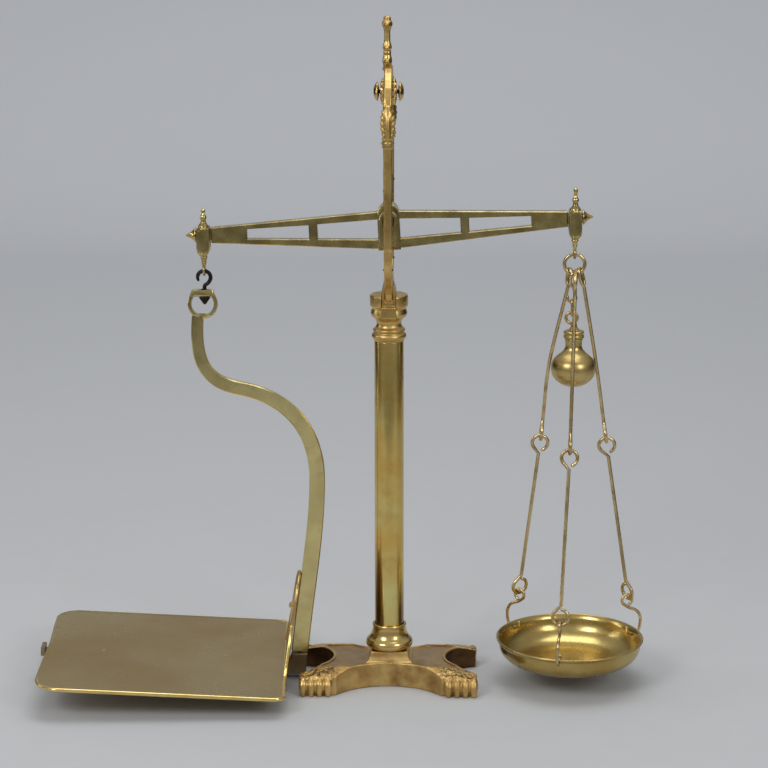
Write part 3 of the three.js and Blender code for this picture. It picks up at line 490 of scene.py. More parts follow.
CAST = metal("cast_brass", (0.72, 0.50, 0.19), (0.56, 0.37, 0.12), (0.10, 0.055, 0.02),
             0.34, 0.16, 0.55, pits=0.10, edges=0.6)
# The base's ankles carry painted shade in the low spots of their bump carving.
BASE_CAST = metal("cast_brass_base", (0.70, 0.49, 0.19), (0.50, 0.31, 0.11), (0.12, 0.06, 0.02),
                  0.4, 0.16, 0.6, pits=0.14, edges=0.6, carved=True)
PANEL = metal("base_panel_brass", (0.50, 0.34, 0.17), (0.38, 0.25, 0.12), (0.15, 0.085, 0.04),
              0.42, 0.14, 0.5, pits=0.05, edges=0)
# Painted shade: near-black brass on the notch walls of the base, standing in for the shade that falls there.
NOTCH_SHADE = metal("base_notch_brass", (0.16, 0.085, 0.035), (0.09, 0.045, 0.02), (0.03, 0.015, 0.01),
              0.45, 0.14, 0.5, pits=0.08, edges=0)
POLISHED = metal("polished_brass", (0.72, 0.53, 0.21), (0.60, 0.43, 0.15), (0.26, 0.15, 0.05),
                 0.22, 0.08, 0.22, edges=0.15, ripple=0.03)
BALL_BRASS = metal("ball_brass", (0.60, 0.45, 0.18), (0.50, 0.37, 0.14), (0.22, 0.14, 0.05),
                   0.32, 0.08, 0.3, edges=0.15, ripple=0.03)
RIM = metal("rolled_edge_brass", (0.86, 0.66, 0.26), (0.74, 0.54, 0.18), (0.34, 0.20, 0.06),
            0.2, 0.08, 0.3, edges=0)
# The column carries painted dark reflections, drawn as streaks.
COLUMN = metal("column_brass", (0.74, 0.64, 0.25), (0.68, 0.43, 0.11), (0.22, 0.13, 0.05),
               0.2, 0.08, 0.35, grain=(1, 1, 0.02), edges=0, ripple=0.02, mottle=16.0,
               painted_dark_reflection=True)
BEAM = metal("beam_brass", (0.60, 0.49, 0.21), (0.40, 0.31, 0.12), (0.14, 0.09, 0.03),
             0.24, 0.1, 0.6, grain=(0.04, 1, 1), edges=0, stain_scale=45.0)
ARM_BRASS = metal("arm_brass", (0.76, 0.64, 0.29), (0.58, 0.48, 0.21), (0.20, 0.14, 0.05),
                  0.2, 0.1, 0.4, grain=(1, 1, 0.06), edges=0, mottle=22.0)
# Painted shade: a darker brass for the bar under the plate, standing in for the plate's shadow on it.
FOOT_SHADE_BRASS = metal("dark_foot_brass", (0.38, 0.28, 0.15), (0.25, 0.18, 0.09), (0.11, 0.07, 0.04),
                   0.4, 0.12, 0.5, edges=0, pits=0.03)
WIRE = metal("wire_brass", (0.68, 0.53, 0.27), (0.50, 0.37, 0.17), (0.20, 0.12, 0.05),
             0.26, 0.1, 0.5, edges=0.1, stain_scale=60.0)
PLATE = metal("plate_brass", (0.55, 0.42, 0.19), (0.49, 0.335, 0.125), (0.28, 0.18, 0.08),
              0.3, 0.06, 0.08, grain=(0.008, 0.25, 1), edges=0, stain_scale=9.0, mottle=9.0, groove=0.03)
PAN_BRASS = metal("pan_brass", (0.56, 0.43, 0.16), (0.44, 0.30, 0.095), (0.22, 0.12, 0.04),
                  0.25, 0.06, 0.14, grain=(0.2, 0.03, 0.2), edges=0.1, ripple=0.03, mottle=24.0, groove=0.02)
STEEL = metal("steel", (0.50, 0.49, 0.46), (0.36, 0.35, 0.33), (0.12, 0.07, 0.04), 0.3, 0.12, 0.5)
IRON = metal("blackened_iron", (0.045, 0.04, 0.036), (0.025, 0.022, 0.02), (0.10, 0.045, 0.02),
             0.42, 0.16, 0.4, pits=0.04, edges=0.3)
LEAD = metal("lead", (0.26, 0.27, 0.28), (0.18, 0.18, 0.19), (0.08, 0.08, 0.08), 0.6, 0.1, 0.4, pits=0.1)


def finish_piece(obj, body, slot, material, *nodes):
    obj.data.materials.clear()
    obj.data.materials.append(material)
    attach(obj, body)
    if nodes:
        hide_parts(*nodes)


def dress(node, material, bevel=0.5):
    """Keeps a CAD node, with softened edges and its own material."""
    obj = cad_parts[node]
    obj.data.materials.clear()
    obj.data.materials.append(material)
    plain = obj.modifiers.new("plain", "DECIMATE")
    plain.decimate_type = "DISSOLVE"
    plain.angle_limit = math.radians(1.5)
    if bevel:
        soften(obj, bevel, 3, 32)
    shade(obj, 40)


def soften(obj, width, segments, angle):
    soft = obj.modifiers.new("soft_edge", "BEVEL")
    soft.width = width * MM
    soft.segments = segments
    soft.limit_method = "ANGLE"
    soft.angle_limit = math.radians(angle)


# ---------- stand ----------
def base_outline(inset, steps=26):
    """The base from above: four corners joined by arcs that are hollow by a known depth."""
    corner_x, corner_y = 86.3, 55.3
    front_half, front_deep = 54, 31.8
    side_half, side_deep = 33.7, 30.8
    half_x, half_y = corner_x - inset, corner_y - inset
    front_r = (front_half ** 2 + front_deep ** 2) / (2 * front_deep)
    side_r = (side_half ** 2 + side_deep ** 2) / (2 * side_deep)
    front_c = corner_y - front_deep + front_r
    side_c = corner_x - side_deep + side_r
    fa = math.acos((front_c - half_y) / (front_r + inset))
    sa = math.acos((side_c - half_x) / (side_r + inset))
    half = math.pi / 2
    points = []
    for corner, cx, cy, r, facing, spread in (
            ((half_x, half_y), 0, front_c, front_r, -half, fa),
            ((-half_x, half_y), -side_c, 0, side_r, 0, sa),
            ((-half_x, -half_y), 0, -front_c, front_r, half, fa),
            ((half_x, -half_y), side_c, 0, side_r, math.pi, sa)):
        points.append(corner)
        for i in range(steps + 1):
            a = facing + spread * (1 - 2 * i / steps)
            points.append((cx + (r + inset) * math.cos(a), cy + (r + inset) * math.sin(a)))
    clean = []
    for p in points:
        if not clean or (V(p) - V(clean[-1])).length > 0.4:
            clean.append(p)
    return clean


def paw(form, end, side):
    """Four toes with claws, a carved ankle above them and a scroll at each flank."""
    for i in range(4):
        spread = (i - 1.5) * 0.35 * end
        x = end * (58.9 + i * 7.7) + spread
        toe = smooth([(x, side * y, z) for y, z in ((42.5, 15.5), (48.2, 14.6), (51.4, 10.6), (51.9, 5.6),
                                                    (51.2, 1.2))], 5)
        form.add(*tube(toe, 3.7, 16, lambda t: 0.8 + 0.35 * math.sin(math.pi * min(1.0, t * 1.1))))
        form.add(*ball((x, side * 52.9, 10.2), (3.1, 2.2, 2.6), 10, 14))
        form.add(*ball((x, side * 53.3, 3.0), (2.1, 1.9, 3.0), 10, 14))
        ridge = smooth([(x, side * 45, 16.4), (x - end * 0.8, side * 39.5, 18.4 - 1.1 * i),
                        (x - end * (2 + i), side * 33.5, 21.4 - 0.9 * i)], 5)
        form.add(*tube(ridge, 2.5, 12, lambda t: 1.0 - 0.5 * t))
        for k in range(3):
            back, up = 3.2 * k, 0.5 * i
            lock = (x - end * (0.5 + k), side * (43 - back), 17.8 + 1.0 * k - up)
            curl = (x - end * (3.2 + k), side * (41.4 - back), 18.4 + 0.9 * k - up)
            form.add(*ball(lock, (2.5, 1.5, 1.9), 8, 12))
            form.add(*ball(curl, (1.2, 1.9, 1.7), 8, 12))
    outer = arc(V((end * 82.6, side * 42.2, 11.8)), Y * side, Z, 3.9, -80, 240, 16)
    form.add(*tube(outer, 2.1, 12, lambda t: 1.0 - 0.5 * t))
    inner = arc(V((end * 57.4, side * 41, 14.6)), Y * side, Z, 4.0, -60, 230, 14)
    form.add(*tube(inner, 2.0, 12, lambda t: 1.0 - 0.45 * t))


def build_base():
    panel_z, panel_y, flank_y = 23.1, 31.5, 49.6
    base = Form().add(*prism(base_outline(0.5), 0.3, 24.2, X, Y, Z)).object("base_body")
    slopes = []
    drop = math.tan(math.radians(20))
    for side in (-1, 1):
        wedge = [(side * 33, 24.6), (side * 70, 24.6 - 37 * drop), (side * 70, 60), (side * 33, 60)]
        cutter = Form().add(*prism(wedge, -100, 100, Y, Z, X)).object("slope")
        near, far = sorted((side * flank_y, side * 80))
        slopes += [cutter, block((-100, near, -2), (100, far, 60))]
        for end in (-1, 1):
            swing = Matrix.Rotation(math.atan2(side * 0.6, end * 0.8), 4, "Z")
            fall = Matrix.Rotation(math.radians(15), 4, "Y")
            turn = Matrix.Translation((end * 62, side * 26, 24.5)) @ swing @ fall
            outline = [(0, 0), (60, 0), (60, 30), (0, 30)]
            slopes.append(Form().add(*prism(outline, -60, 60), turn).object("ankle_slope"))
    carve(base, *slopes)
    extra = Form()
    for end in (-1, 1):
        for side in (-1, 1):
            paw(extra, end, side)
    whole = Form().absorb(base).add(extra.verts, extra.faces).object("base_cast", weld=False)
    cast(whole, 0.7)
    floor = block((-120, -80, -20), (120, 80, 0.02))
    panel = Form().add(*prism(base_outline(3.0), panel_z, 30, X, Y, Z)).object("panel_cut")
    keep_low = block((-100, -90, 20), (100, -panel_y, 40))
    keep_high = block((-100, panel_y, 20), (100, 90, 40))
    carve(panel, keep_low, keep_high)
    carve(whole, floor, panel)
    shade(whole, 50)
    finish_piece(whole, "stand", "cast_brass", BASE_CAST, "base_casting")
    whole.data.materials.append(PANEL)
    whole.data.materials.append(NOTCH_SHADE)
    for face in whole.data.polygons:
        spot, upward = face.center / MM, face.normal.z
        in_notch = abs(spot.y) < 34 and abs(spot.x) > 50 and spot.z < 22.6
        if upward > 0.97 and abs(spot.z - panel_z) < 0.15:
            face.material_index = 1
        # Notch walls get the painted-shade material.
        elif in_notch and upward < 0.5:
            face.material_index = 2


def build_plinth():
    """The square block under the column, with hollow sides."""
    rows = [(22.6, 23.0), (22.6, 24.4), (21.4, 25.2), (19.9, 26.8), (18.9, 28.8), (18.3, 31.2),
            (18.05, 33.2), (17.4, 33.95)]
    verts, faces = [], []
    grid = 14
    corners = [V((-1, -1)), V((1, -1)), V((1, 1)), V((-1, 1))]
    for half, z in rows:
        for k in range(4):
            a, b = corners[k] * half, corners[k - 3] * half
            for i in range(grid):
                p = a.lerp(b, i / grid)
                verts.append((p.x, p.y, z))
    rings = [range(r * 4 * grid, (r + 1) * 4 * grid) for r in range(len(rows))]
    for a, b in zip(rings, rings[1:]):
        faces += band(a, b)
    faces += [rings[0][::-1], rings[-1]]
    obj = Form().add(verts, faces).object("plinth", 40)
    soften(obj, 0.5, 2, 40)
    finish_piece(obj, "stand", "cast_brass", BASE_CAST)


def build_column():
    collar = Form().add(*lathe(lifted([
        (14.4, 0), (20, 0), (22.4, 2), (23.3, 5.2), (22.2, 8.4), (19.4, 10.8), (17.4, 14.2), (16.4, 18.6),
        (16.1, 21.4), (16.7, 22.4), (16.4, 24.2), (14.4, 24.6)], COLLAR_Z), 96, 1.6))
    finish_piece(collar.object("collar", 50), "stand", "polished_brass", POLISHED, "base_collar")
    bore, outer, low, top = 12.6, 14.1, COLLAR_Z, CAPITAL_Z - GAP
    tube_form = Form().add(*lathe([(bore, low), (outer, low), (outer, top), (bore, top)], 128, 0.3))
    finish_piece(tube_form.object("column", 40), "stand", "polished_brass", COLUMN, "column_tube")


def build_capital():
    bore, spigot, neck, lip = 3.8, 12.0, 14.5, 18.2
    form = Form().add(*lathe(lifted([
        (bore, -11), (spigot, -11), (spigot, 0), (14.6, 0), (14.6, 1.5), (16.1, 2.8), (16.8, 4.9), (16.1, 7),
        (neck, 8.2), (neck, 9.2), (15.4, 9.8), (15.4, 11.6), (14.2, 12.4), (12.4, 14), (11.7, 17), (12.4, 20),
        (neck, 22.4), (16.6, 23.8), (17.7, 26.9), (16.8, 30), (16.3, 31.4), (16.8, 32.8), (lip, 34.2),
        (lip, 43.8), (17.2, 44.9), (bore, 44.9)], CAPITAL_Z), 80, 0.9))
    capital = form.object("capital_body", 45)
    slot_cut = block((-7.3, -25, 364.5), (7.3, 25, 395))
    nut_seat = Form().add(*rod(7.7, 358, 368, 40)).object("nut_cut")
    carve(capital, slot_cut, nut_seat)
    shade(capital, 40)
    finish_piece(capital, "stand", "cast_brass", CAST, "capital")


def leaf(form, side):
    """A folded leaf on the upper part of a post, with lobes down both edges and a raised rib."""
    rib = smooth([(0, side * y, z) for y, z in ((45.6, 541), (47.2, 549), (46.4, 558), (43.4, 566),
                                                (39.6, 573))], 6)
    form.add(*tube(rib, 2.7, 14, lambda t: 1.05 - 0.55 * t))
    for k in range(6):
        z = 542.5 + 5.0 * k
        wide = (3.6, 4.6, 5.0, 4.6, 3.8, 2.6)[k]
        y = side * (42.6 + (0, 1.0, 1.2, 0.4, -1.2, -3.4)[k])
        for x in (-1, 1):
            turn = Matrix.Rotation(math.radians(x * 24), 4, "Y")
            form.add(*ball((x * wide, y, z), (1.7, 3.2, 3.6), 10, 14, turn))
            form.add(*ball((x * (wide + 0.7), y - side * 2.2, z + 1.6), (1.2, 1.9, 1.8), 8, 12))


def build_frame():
    form = Form()
    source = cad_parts["beam_frame"].data
    form.add([v.co / MM for v in source.vertices], [list(p.vertices) for p in source.polygons])
    for side in (-1, 1):
        leaf(form, side)
        post_y = side * POST_Y
        for z, r in ((531.6, 1.0), (535.2, 1.5), (539.0, 1.1)):
            bead = torus(V((0, post_y, z)), X, Y, 4.7, r, 36, 10)
            form.add([(v.x, post_y + (v.y - post_y) * 1.12, v.z) for v in bead[0]], bead[1])
        post = smooth([(0, post_y, z) for z in (436, 470, 505, 531)], 6)
        for x in (-2.0, 2.0):
            form.add(*tube([p + V((x, side * 2.5, 0)) for p in post], 2.2, 14))
    for x in (-1, 1):
        form.add(*torus(V((x * 4.9, 0, BOSS_Z)), Y, Z, 8.6, 1.4, 40, 10))
        for k in range(10):
            a = 2 * math.pi * k / 10
            petal = (x * 5.2, 10.6 * math.cos(a), BOSS_Z + 10.6 * math.sin(a))
            form.add(*ball(petal, (1.6, 2.3, 2.3), 8, 12))
        for side in (-1, 1):
            for k in range(4):
                bud = (x * 3.9, side * (15 + 5.4 * k), 589 - 2.0 * k - 0.7 * k * k)
                form.add(*ball(bud, (1.5, 2.4, 2.0), 8, 12))
    # Trefoil and lobes of the crest.
    for z, r, wide in ((606.5, 2.6, 4.2), (619, 2.4, 4.0), (640.5, 2.7, 4.6)):
        for side in (-1, 1):
            form.add(*ball((-1.3, side * wide, z), (2.6, r, r), 10, 14))
            form.add(*ball((-1.3 + side * 0.9 * r, 0, z), (r * 0.9, 2.6, r), 10, 14))
    obj = form.object("frame_body", weld=False)
    cast(obj, 0.6)
    bolt_cut = Form().add(*rod(2.4, -9, 9, 32), along_x(0, 0, BOSS_Z)).object("bolt_cut")
    pin_cuts = [block((-2.0, low, 487.2), (2.0, high, 494.8)) for low, high in ((-43, -36), (36, 43))]
    carve(obj, bolt_cut, *pin_cuts)
    shade(obj, 50)
    finish_piece(obj, "stand", "cast_brass", CAST, "beam_frame")
    for x, name in ((-1, "crest_knob_left"), (1, "crest_knob_right")):
        knob = Form().add(*lathe([(2.4, 8.9), (4.2, 8.9), (9, 10.2), (9, 11), (6.6, 13), (3.6, 14.1),
                                  (2.4, 14.2)], 64, 0.8), along_x(0, 0, BOSS_Z, x))
        finish_piece(knob.object(name + "_cap", 60), "stand", "polished_brass", POLISHED, name)
    bolt = Form().add(*rod(2.0, -11.5, 12, 32, 0.5), along_x(0, 0, BOSS_Z))
    finish_piece(bolt.object("crest_rod"), "stand", "blackened_iron", IRON, "crest_bolt")


# ---------- beam and box ends ----------
def build_beam():
    dress("beam", BEAM, 0.5)
    for name in ("front_bearing", "rear_bearing"):
        dress(name, BEAM, 0.45)
    tilt = Matrix.Translation((0, 0, FULCRUM_Z)) @ Matrix.Rotation(-TILT, 4, "Y")
    for word, side in (("left", -1), ("right", 1)):
        tip = Form().add(*lathe([
            (0, -2.2), (1.3, -2.2), (1.3, 0), (7.2, 0), (7.2, 1.0), (5.6, 2.2), (3.7, 4.2), (2.1, 6.8),
            (0.9, 9.6), (0, 9.8)], 56, 0.5), tilt @ along_x(side * TIP_X, 0, -1, side))
        finish_piece(tip.object(word + "_tip"), "beam", "polished_brass", POLISHED, word + "_tip_finial")
    pointer = Form().add(*lathe([(0, 15), (1.2, 15), (1.2, 23.4), (2.2, 23.6), (1.6, 26), (0.5, 44), (0, 44)],
                                32, 0.3), tilt)
    finish_piece(pointer.object("pointer_needle"), "beam", "steel", STEEL, "pointer")


def build_box_end(word, x, pivot, tip):
    """A box hung on an end knife edge, with a finial of height tip and an eye below."""
    outline = [(-5.6, -17), (-3, -20), (3, -20), (5.6, -17), (6.2, -11), (5.8, 5.4), (4.8, 6.6), (-4.8, 6.6),
               (-5.8, 5.4), (-6.2, -11)]
    shift = Matrix.Translation((x, 0, pivot))
    body = Form().add(*prism(outline, -10, 10), shift).object("box_body")
    carve(body, block((x - 9, -4.6, pivot - 13), (x + 9, 4.6, pivot + 4.6)),
          block((x - 4, -9, pivot - 7), (x + 4, 9, pivot + 4.6)))
    keep(body, "BEVEL", width=0.9 * MM, segments=2, limit_method="ANGLE")
    form = Form().absorb(body)
    form.add(*lathe([
        (0, 5), (5.2, 5.4), (5.3, 6.6), (4.9, 7.6), (3.4, 9.6), (2.5, 11), (2.3, 12.6), (3, 14.2),
        (3.2, 15.4), (2.9, 16.8), (2, 18.2), (1.35, 20), (2.1, tip - 4.4), (2.0, tip - 2.4),
        (0.9, tip - 1.5), (0, tip)], 40, 0.5), shift)
    form.add(*lathe([
        (0, -32.2), (1.4, -32), (2, -30), (2.5, -27.6), (2.2, -26.6), (2.6, -25.6), (3, -23.8), (3.5, -22.8),
        (3.0, -21.8), (3.8, -19.5), (0, -19)], 40, 0.4), shift)
    form.add(*torus(V((x, 0, pivot - EYE_DROP)), Y, Z, 4.25, 1.35))
    for side in (-1, 1):
        panel = [(-4.2, -15.8), (4.2, -15.8), (4.9, -10.6), (4.5, 3.6), (-4.5, 3.6), (-4.9, -10.6)]
        low, high = sorted((side * 9.6, side * 10.7))
        form.add(*prism(panel, low, high), shift)
        for z in (-18.2, 5.4):
            form.add(*ball((x, side * 9.2, pivot + z), (3.4, 1.7, 1.3), 8, 16))
    obj = form.object(word + "_box_body", 35, weld=False)
    finish_piece(obj, word + "_box", "beam_brass", BEAM, word + "_box_end")
    for node in (word + "_front_seat", word + "_rear_seat"):
        dress(node, STEEL, 0)


# ---------- goods side ----------
def build_goods():
    top = LEFT_Z - EYE_DROP - EYE_HOLE + GAP + IRON_WIRE
    bend_r = 6.2
    bend = arc(V((-END_X - 0.2, 0, top - bend_r)), X, Z, bend_r, 205, -25, 28)
    lead = smooth([bend[-1], (-END_X + 3.6, 0, top - 11.6), (-END_X + 0.5, 0, top - 14),
                   (-END_X, 0, top - 16.6), (-END_X, 0, 381.4)], 6)[1:]
    hook = Form().add(*tube(bend + lead, IRON_WIRE, 20, lambda t: min(1.0, 0.72 + 2.5 * t)))
    hook.add(*lathe([(0, 375.4), (1.2, 375.8), (5.2, 381.6), (5.2, 383.1), (0, 383.1)], 40, 0.4),
             Matrix.Translation((-END_X, 0, 0)))
    finish_piece(hook.object("iron_hook_body", 50), "hook", "blackened_iron", IRON, "iron_hook")
    build_arm()
    build_plate()
    # The bar under the plate gets the painted-shade brass.
    dress("plate_bar", FOOT_SHADE_BRASS, 0.4)
    dress("upstand_screw", WIRE, 0.2)
    for node in ("bar_rivet_inner", "bar_rivet_outer"):
        dress(node, POLISHED, 0.2)


def on_goods():
    """The arm and the plate, turned a little about the iron hook as photographed."""
    turn = Matrix.Rotation(math.radians(GOODS_TURN), 4, "Z")
    return Matrix.Translation((-END_X, 0, 0)) @ turn @ Matrix.Translation((END_X, 0, 0))


def bezier(a, b, c, d, steps):
    out = []
    for i in range(steps + 1):
        t = i / steps
        u = 1 - t
        out.append(V(a) * u ** 3 + V(b) * (3 * u * u * t) + V(c) * (3 * u * t * t) + V(d) * t ** 3)
    return out


def swept_bar(points, halves, thick, chamfer):
    """A bar with chamfered corners along a line in the XZ plane."""
    count = len(points)
    verts, faces = [], []
    t2 = thick / 2
    for i, (p, half) in enumerate(zip(points, halves)):
        a, b = points[max(i - 1, 0)], points[min(i + 1, count - 1)]
        t = (b - a).normalized()
        n = V((-t.y, t.x))
        section = [(half, t2 - chamfer), (half - chamfer, t2), (-half + chamfer, t2),
                   (-half, t2 - chamfer), (-half, -t2 + chamfer), (-half + chamfer, -t2),
                   (half - chamfer, -t2), (half, -t2 + chamfer)]
        for across, y in section:
            q = p + n * across
            verts.append((q.x, y, q.y))
    rings = [range(i * 8, (i + 1) * 8) for i in range(count)]
    for a, b in zip(rings, rings[1:]):
        faces += band(a, b)
    return verts, faces + [rings[0][::-1], rings[-1]]


def build_arm():
    """The flat bar from the D-shaped ring down to the foot of the plate."""
    thick = 5.6
    path = bezier((-182.6, 364.6), (-186, 322), (-180, 300), (-140, 292.5), 40)
    path += bezier((-140, 292.5), (-100, 284), (-69, 255), (-70, 200), 40)[1:]
    path += bezier((-70, 200), (-70.6, 145), (-82, 90), (-88.3, 27.4), 40)[1:]
    count = len(path)
    halves = []
    for i in range(count):
        t = i / (count - 1)
        halves.append(5.6 + 1.9 * min(1.0, 1.6 * t) + 0.8 * max(0.0, t - 0.6) / 0.4)
    arm = Form().add(*swept_bar(path, halves, thick, 0.9), on_goods())
    x, z, outer, inner, steps = -177.8, 376.0, 14.4, 10.6, 48
    flat, flat_half = 7.4, 12.6
    corner = math.atan2(flat, flat_half)
    outline = [(x + 9.8, 390.2), (x - 9.8, 390.2), (x - flat_half, z + flat)]
    start, stop = math.pi - corner, 2 * math.pi + corner
    for i in range(1, steps):
        a = start + (stop - start) * i / steps
        outline.append((x + outer * math.cos(a), z + outer * math.sin(a)))
    outline.append((x + flat_half, z + flat))
    ring = Form().add(*prism(outline, -thick / 2, thick / 2), on_goods()).object("d_ring")
    rim = math.asin(flat / inner)
    eye = []
    for i in range(steps + 1):
        a = rim - (math.pi + 2 * rim) * i / steps
        eye.append((x + inner * math.cos(a), z + inner * math.sin(a)))
    hole = Form().add(*prism(eye, -6, 6), on_goods()).object("eye_cut")
    bore = Form().add(*rod(2.2, 380, 400, 32), Matrix.Translation((-END_X, 0, 0))).object("bore_cut")
    carve(ring, hole, bore)
    keep(ring, "BEVEL", width=1.1 * MM, segments=3, limit_method="ANGLE", angle_limit=math.radians(60),
         use_clamp_overlap=False)
    joined = arm.absorb(ring).object("arm_bar", 28, weld=False)
    finish_piece(joined, "goods", "beam_brass", ARM_BRASS, "goods_arm")


def rim_weight(t):
    """The rolled edge is thick along the front and the fold, and thin at the rear and the far end."""
    rise, fall = min(1.0, t / 0.05), min(1.0, max(0.0, (0.61 - t) / 0.05))
    return 0.62 + 0.38 * rise * fall


def build_plate():
    wide, deep = PLATE_WIDE, PLATE_DEEP
    steps_u, steps_v = 64, 64
    far_r, near_r = 25.0, 9.0
    lip, sheet, drop = 3.2, 1.3, 3.1
    tilt = Matrix.Translation((-101.3, 0, 20)) @ Matrix.Rotation(math.radians(PLATE_TILT), 4, "Y")
    place = on_goods() @ tilt

    def edge_inset(y, r):
        over = abs(y) - (deep / 2 - r)
        return r - math.sqrt(max(r * r - over * over, 0.0)) if over > 0 else 0.0

    verts, faces, rows = [], [], []
    for j in range(steps_v + 1):
        s = -math.cos(math.pi * j / steps_v)
        y = s * deep / 2
        left = -wide + edge_inset(y, far_r) + 2.2 * math.exp(-((y - 10) / 46) ** 2)
        right = -edge_inset(y, near_r)
        row = []
        for i in range(steps_u + 1):
            t = 0.5 - 0.5 * math.cos(math.pi * i / steps_u)
            x = left + (right - left) * t
            rim = min(x - left, deep / 2 - abs(y))
            roll = max(0.0, 1 - rim / lip)
            sag = 0.5 * math.sin(math.pi * t) * math.sin(math.pi * (s + 1) / 2)
            raised = 2.4 * math.exp(-((y - 22) / 52) ** 2) * math.exp(-(x - left) / 9)
            z = -0.75 - sag + raised + 0.6 * math.sin(roll * math.pi / 2) - (0.5 * roll ** 6)
            row.append(len(verts))
            verts.append((x, y, z))
        rows.append(row)
    top_count = len(verts)
    for j in range(steps_v + 1):
        for i in range(steps_u + 1):
            x, y, z = verts[rows[j][i]]
            border = i in (0, steps_u) or j in (0, steps_v)
            verts.append((x, y, -drop if border else z - sheet))
    for j in range(steps_v):
        for i in range(steps_u):
            a, b, c, d = rows[j][i], rows[j][i + 1], rows[j + 1][i + 1], rows[j + 1][i]
            faces.append([a, b, c, d])
            faces.append([a + top_count, d + top_count, c + top_count, b + top_count])
    ring = [rows[0][i] for i in range(steps_u + 1)]
    ring += [rows[j][steps_u] for j in range(1, steps_v + 1)]
    ring += [rows[steps_v][i] for i in range(steps_u - 1, -1, -1)]
    ring += [rows[j][0] for j in range(steps_v - 1, 0, -1)]
    faces += band(ring, [i + top_count for i in ring])
    body = Form().add(verts, faces, place).object("plate_sheet", 60)
    finish_piece(body, "goods", "plate_brass", PLATE, "goods_plate")
    inner = []
    for p in (V(verts[i]) for i in ring):
        on_side = abs(p.y) < deep / 2 - 1 or p.x > -far_r
        inset = (1.4 if p.x < -wide / 2 else -1.2) if on_side else 0.0
        inner.append(V((p.x + inset, p.y * (1 - 2 * sheet / deep), p.z - sheet)))
    lead = steps_v // 3
    inner = inner[-lead:] + inner[:-lead]
    bead = Form().add(*tube(inner + inner[:1], RIM_BEAD, 16, rim_weight), place)
    build_upstand(bead, place)


def build_upstand(bead, place):
    """A tall rounded tab that leans out from the fold, with a rolled edge that starts in the plate's bead."""
    half = [(58, -1.2)] + [tuple(p) for p in bezier((58, -1.2), (52, 14), (34, 22), (30, 44), 14)[1:]]
    half += [tuple(p) for p in bezier((30, 44), (27, 66), (24, 88), (0, 89), 16)[1:]]
    outline = half + [(-a, b) for a, b in reversed(half[:-1])]
    lean = place @ Matrix.Translation((-1.4, 0, 0)) @ Matrix.Rotation(math.radians(5.8), 4, "Y")
    tab = Form().add(*prism(outline, -0.3, 1.5, Y, Z, X), lean)
    edge = [V((0, a, b)) for a, b in outline]
    inward = [V((0.5, p.y * 0.985, p.z * 0.993 - 0.2)) for p in edge]
    low_count = sum(1 for p in inward[:len(inward) // 2] if p.z < 40)
    bead.add(*tube(inward[:low_count + 1], TAB_BEAD, 16), lean)
    bead.add(*tube(inward[-low_count - 1:], TAB_BEAD, 16), lean)
    tab.add(*tube(inward[low_count:-low_count], TAB_BEAD, 16), lean)
    finish_piece(bead.object("plate_rim", 60, weld=False), "goods", "plate_brass", RIM)
    tab_obj = tab.object("plate_upstand", 40, weld=False)
    bore = Form().add(*rod(1.8, -14, 14, 24), on_goods() @ along_x(-96, 0, 74)).object("screw_cut")
    carve(tab_obj, bore)
    shade(tab_obj, 40)
    finish_piece(tab_obj, "goods", "plate_brass", PLATE)


# ---------- pan side ----------
def link(head, shank, foot, aside):
    """A link wire: its head, its shank, and an eye round the point foot."""
    axis = (shank[-1] - foot).normalized()
    finish = foot + axis * (LINK_EYE * 1.5)
    line = smooth([*shank, finish], 10) if len(shank) > 1 else [*shank, finish]
    lower = arc(foot, axis, aside, LINK_EYE, -52, -350, 30)
    return tube([*head, *line, *lower], LINK_WIRE + LINK_EXTRA, 14,
                lambda t: 1.0 + 0.05 * math.sin(math.pi * t))


def long_loop(top, bottom, half, turn):
    """A tall narrow loop bent at the head of a link wire, open where it meets the shank."""
    axis = (bottom - top) / 2
    centre = (bottom + top) / 2
    flank = V((math.sin(turn), math.cos(turn), 0))
    flank = (flank - axis * (flank.dot(axis) / axis.length_squared)).normalized()
    points = []
    for k in range(37):
        t = math.radians(16 + 328 * k / 36)
        across = math.copysign(abs(math.sin(t)) ** 0.6, math.sin(t))
        points.append(centre + axis * math.cos(t) + flank * (half * across))
    return points


def radial(azimuth, distance, height):
    """A point at a distance from the pan's axis."""
    a = math.radians(azimuth)
    return V((PAN_X + distance * math.cos(a), distance * math.sin(a), height))


def square_to(axis, heading):
    """A direction square to the axis, as near as it can be to a compass heading."""
    a = math.radians(heading)
    h = V((math.cos(a), math.sin(a), 0))
    return (h - axis * h.dot(axis)).normalized()


def pan_hook(azimuth):
    eye_r = 5.4
    crest = LINK_FOOT_Z - LINK_EYE + LINK_WIRE + HOOK_WIRE + 1.2
    a = math.radians(azimuth)
    outward = V((math.cos(a), math.sin(a), 0))
    eye = arc(radial(azimuth, HOOK_SEAT, crest - eye_r), outward, Z, eye_r, -70, 222, 28)
    places = [(63, crest - 13), (71.5, crest - 17), (76, crest - 23), (76.4, crest - 31),
              (74.6, crest - 38), (71.4, HOLE_Z + 0.5), (66.6, HOLE_Z + 0.5), (63, HOLE_Z + 2.4),
              (61.6, HOLE_Z + 7)]
    bend = smooth([eye[-1]] + [radial(azimuth, r, z) for r, z in places], 6)[1:]
    return tube(eye + bend, HOOK_WIRE + HOOK_EXTRA, 14)


# Name, seat on the ring, azimuth on the pan, heading of the foot eye, and three points of the wire (x, y).
HANGERS = (
    ("left", -51, 141.5, 30, (170.4, 1.5), (153.4, 12.6), (146.9, 21.5)),
    ("front", 17, 258.4, -8, (176.4, -9.8), (174.3, -23.4), (172.3, -35.5)),
    ("right", 51, 21.5, 124, (184.8, 2.4), (198.8, 8.2), (209.6, 12.6)),
)


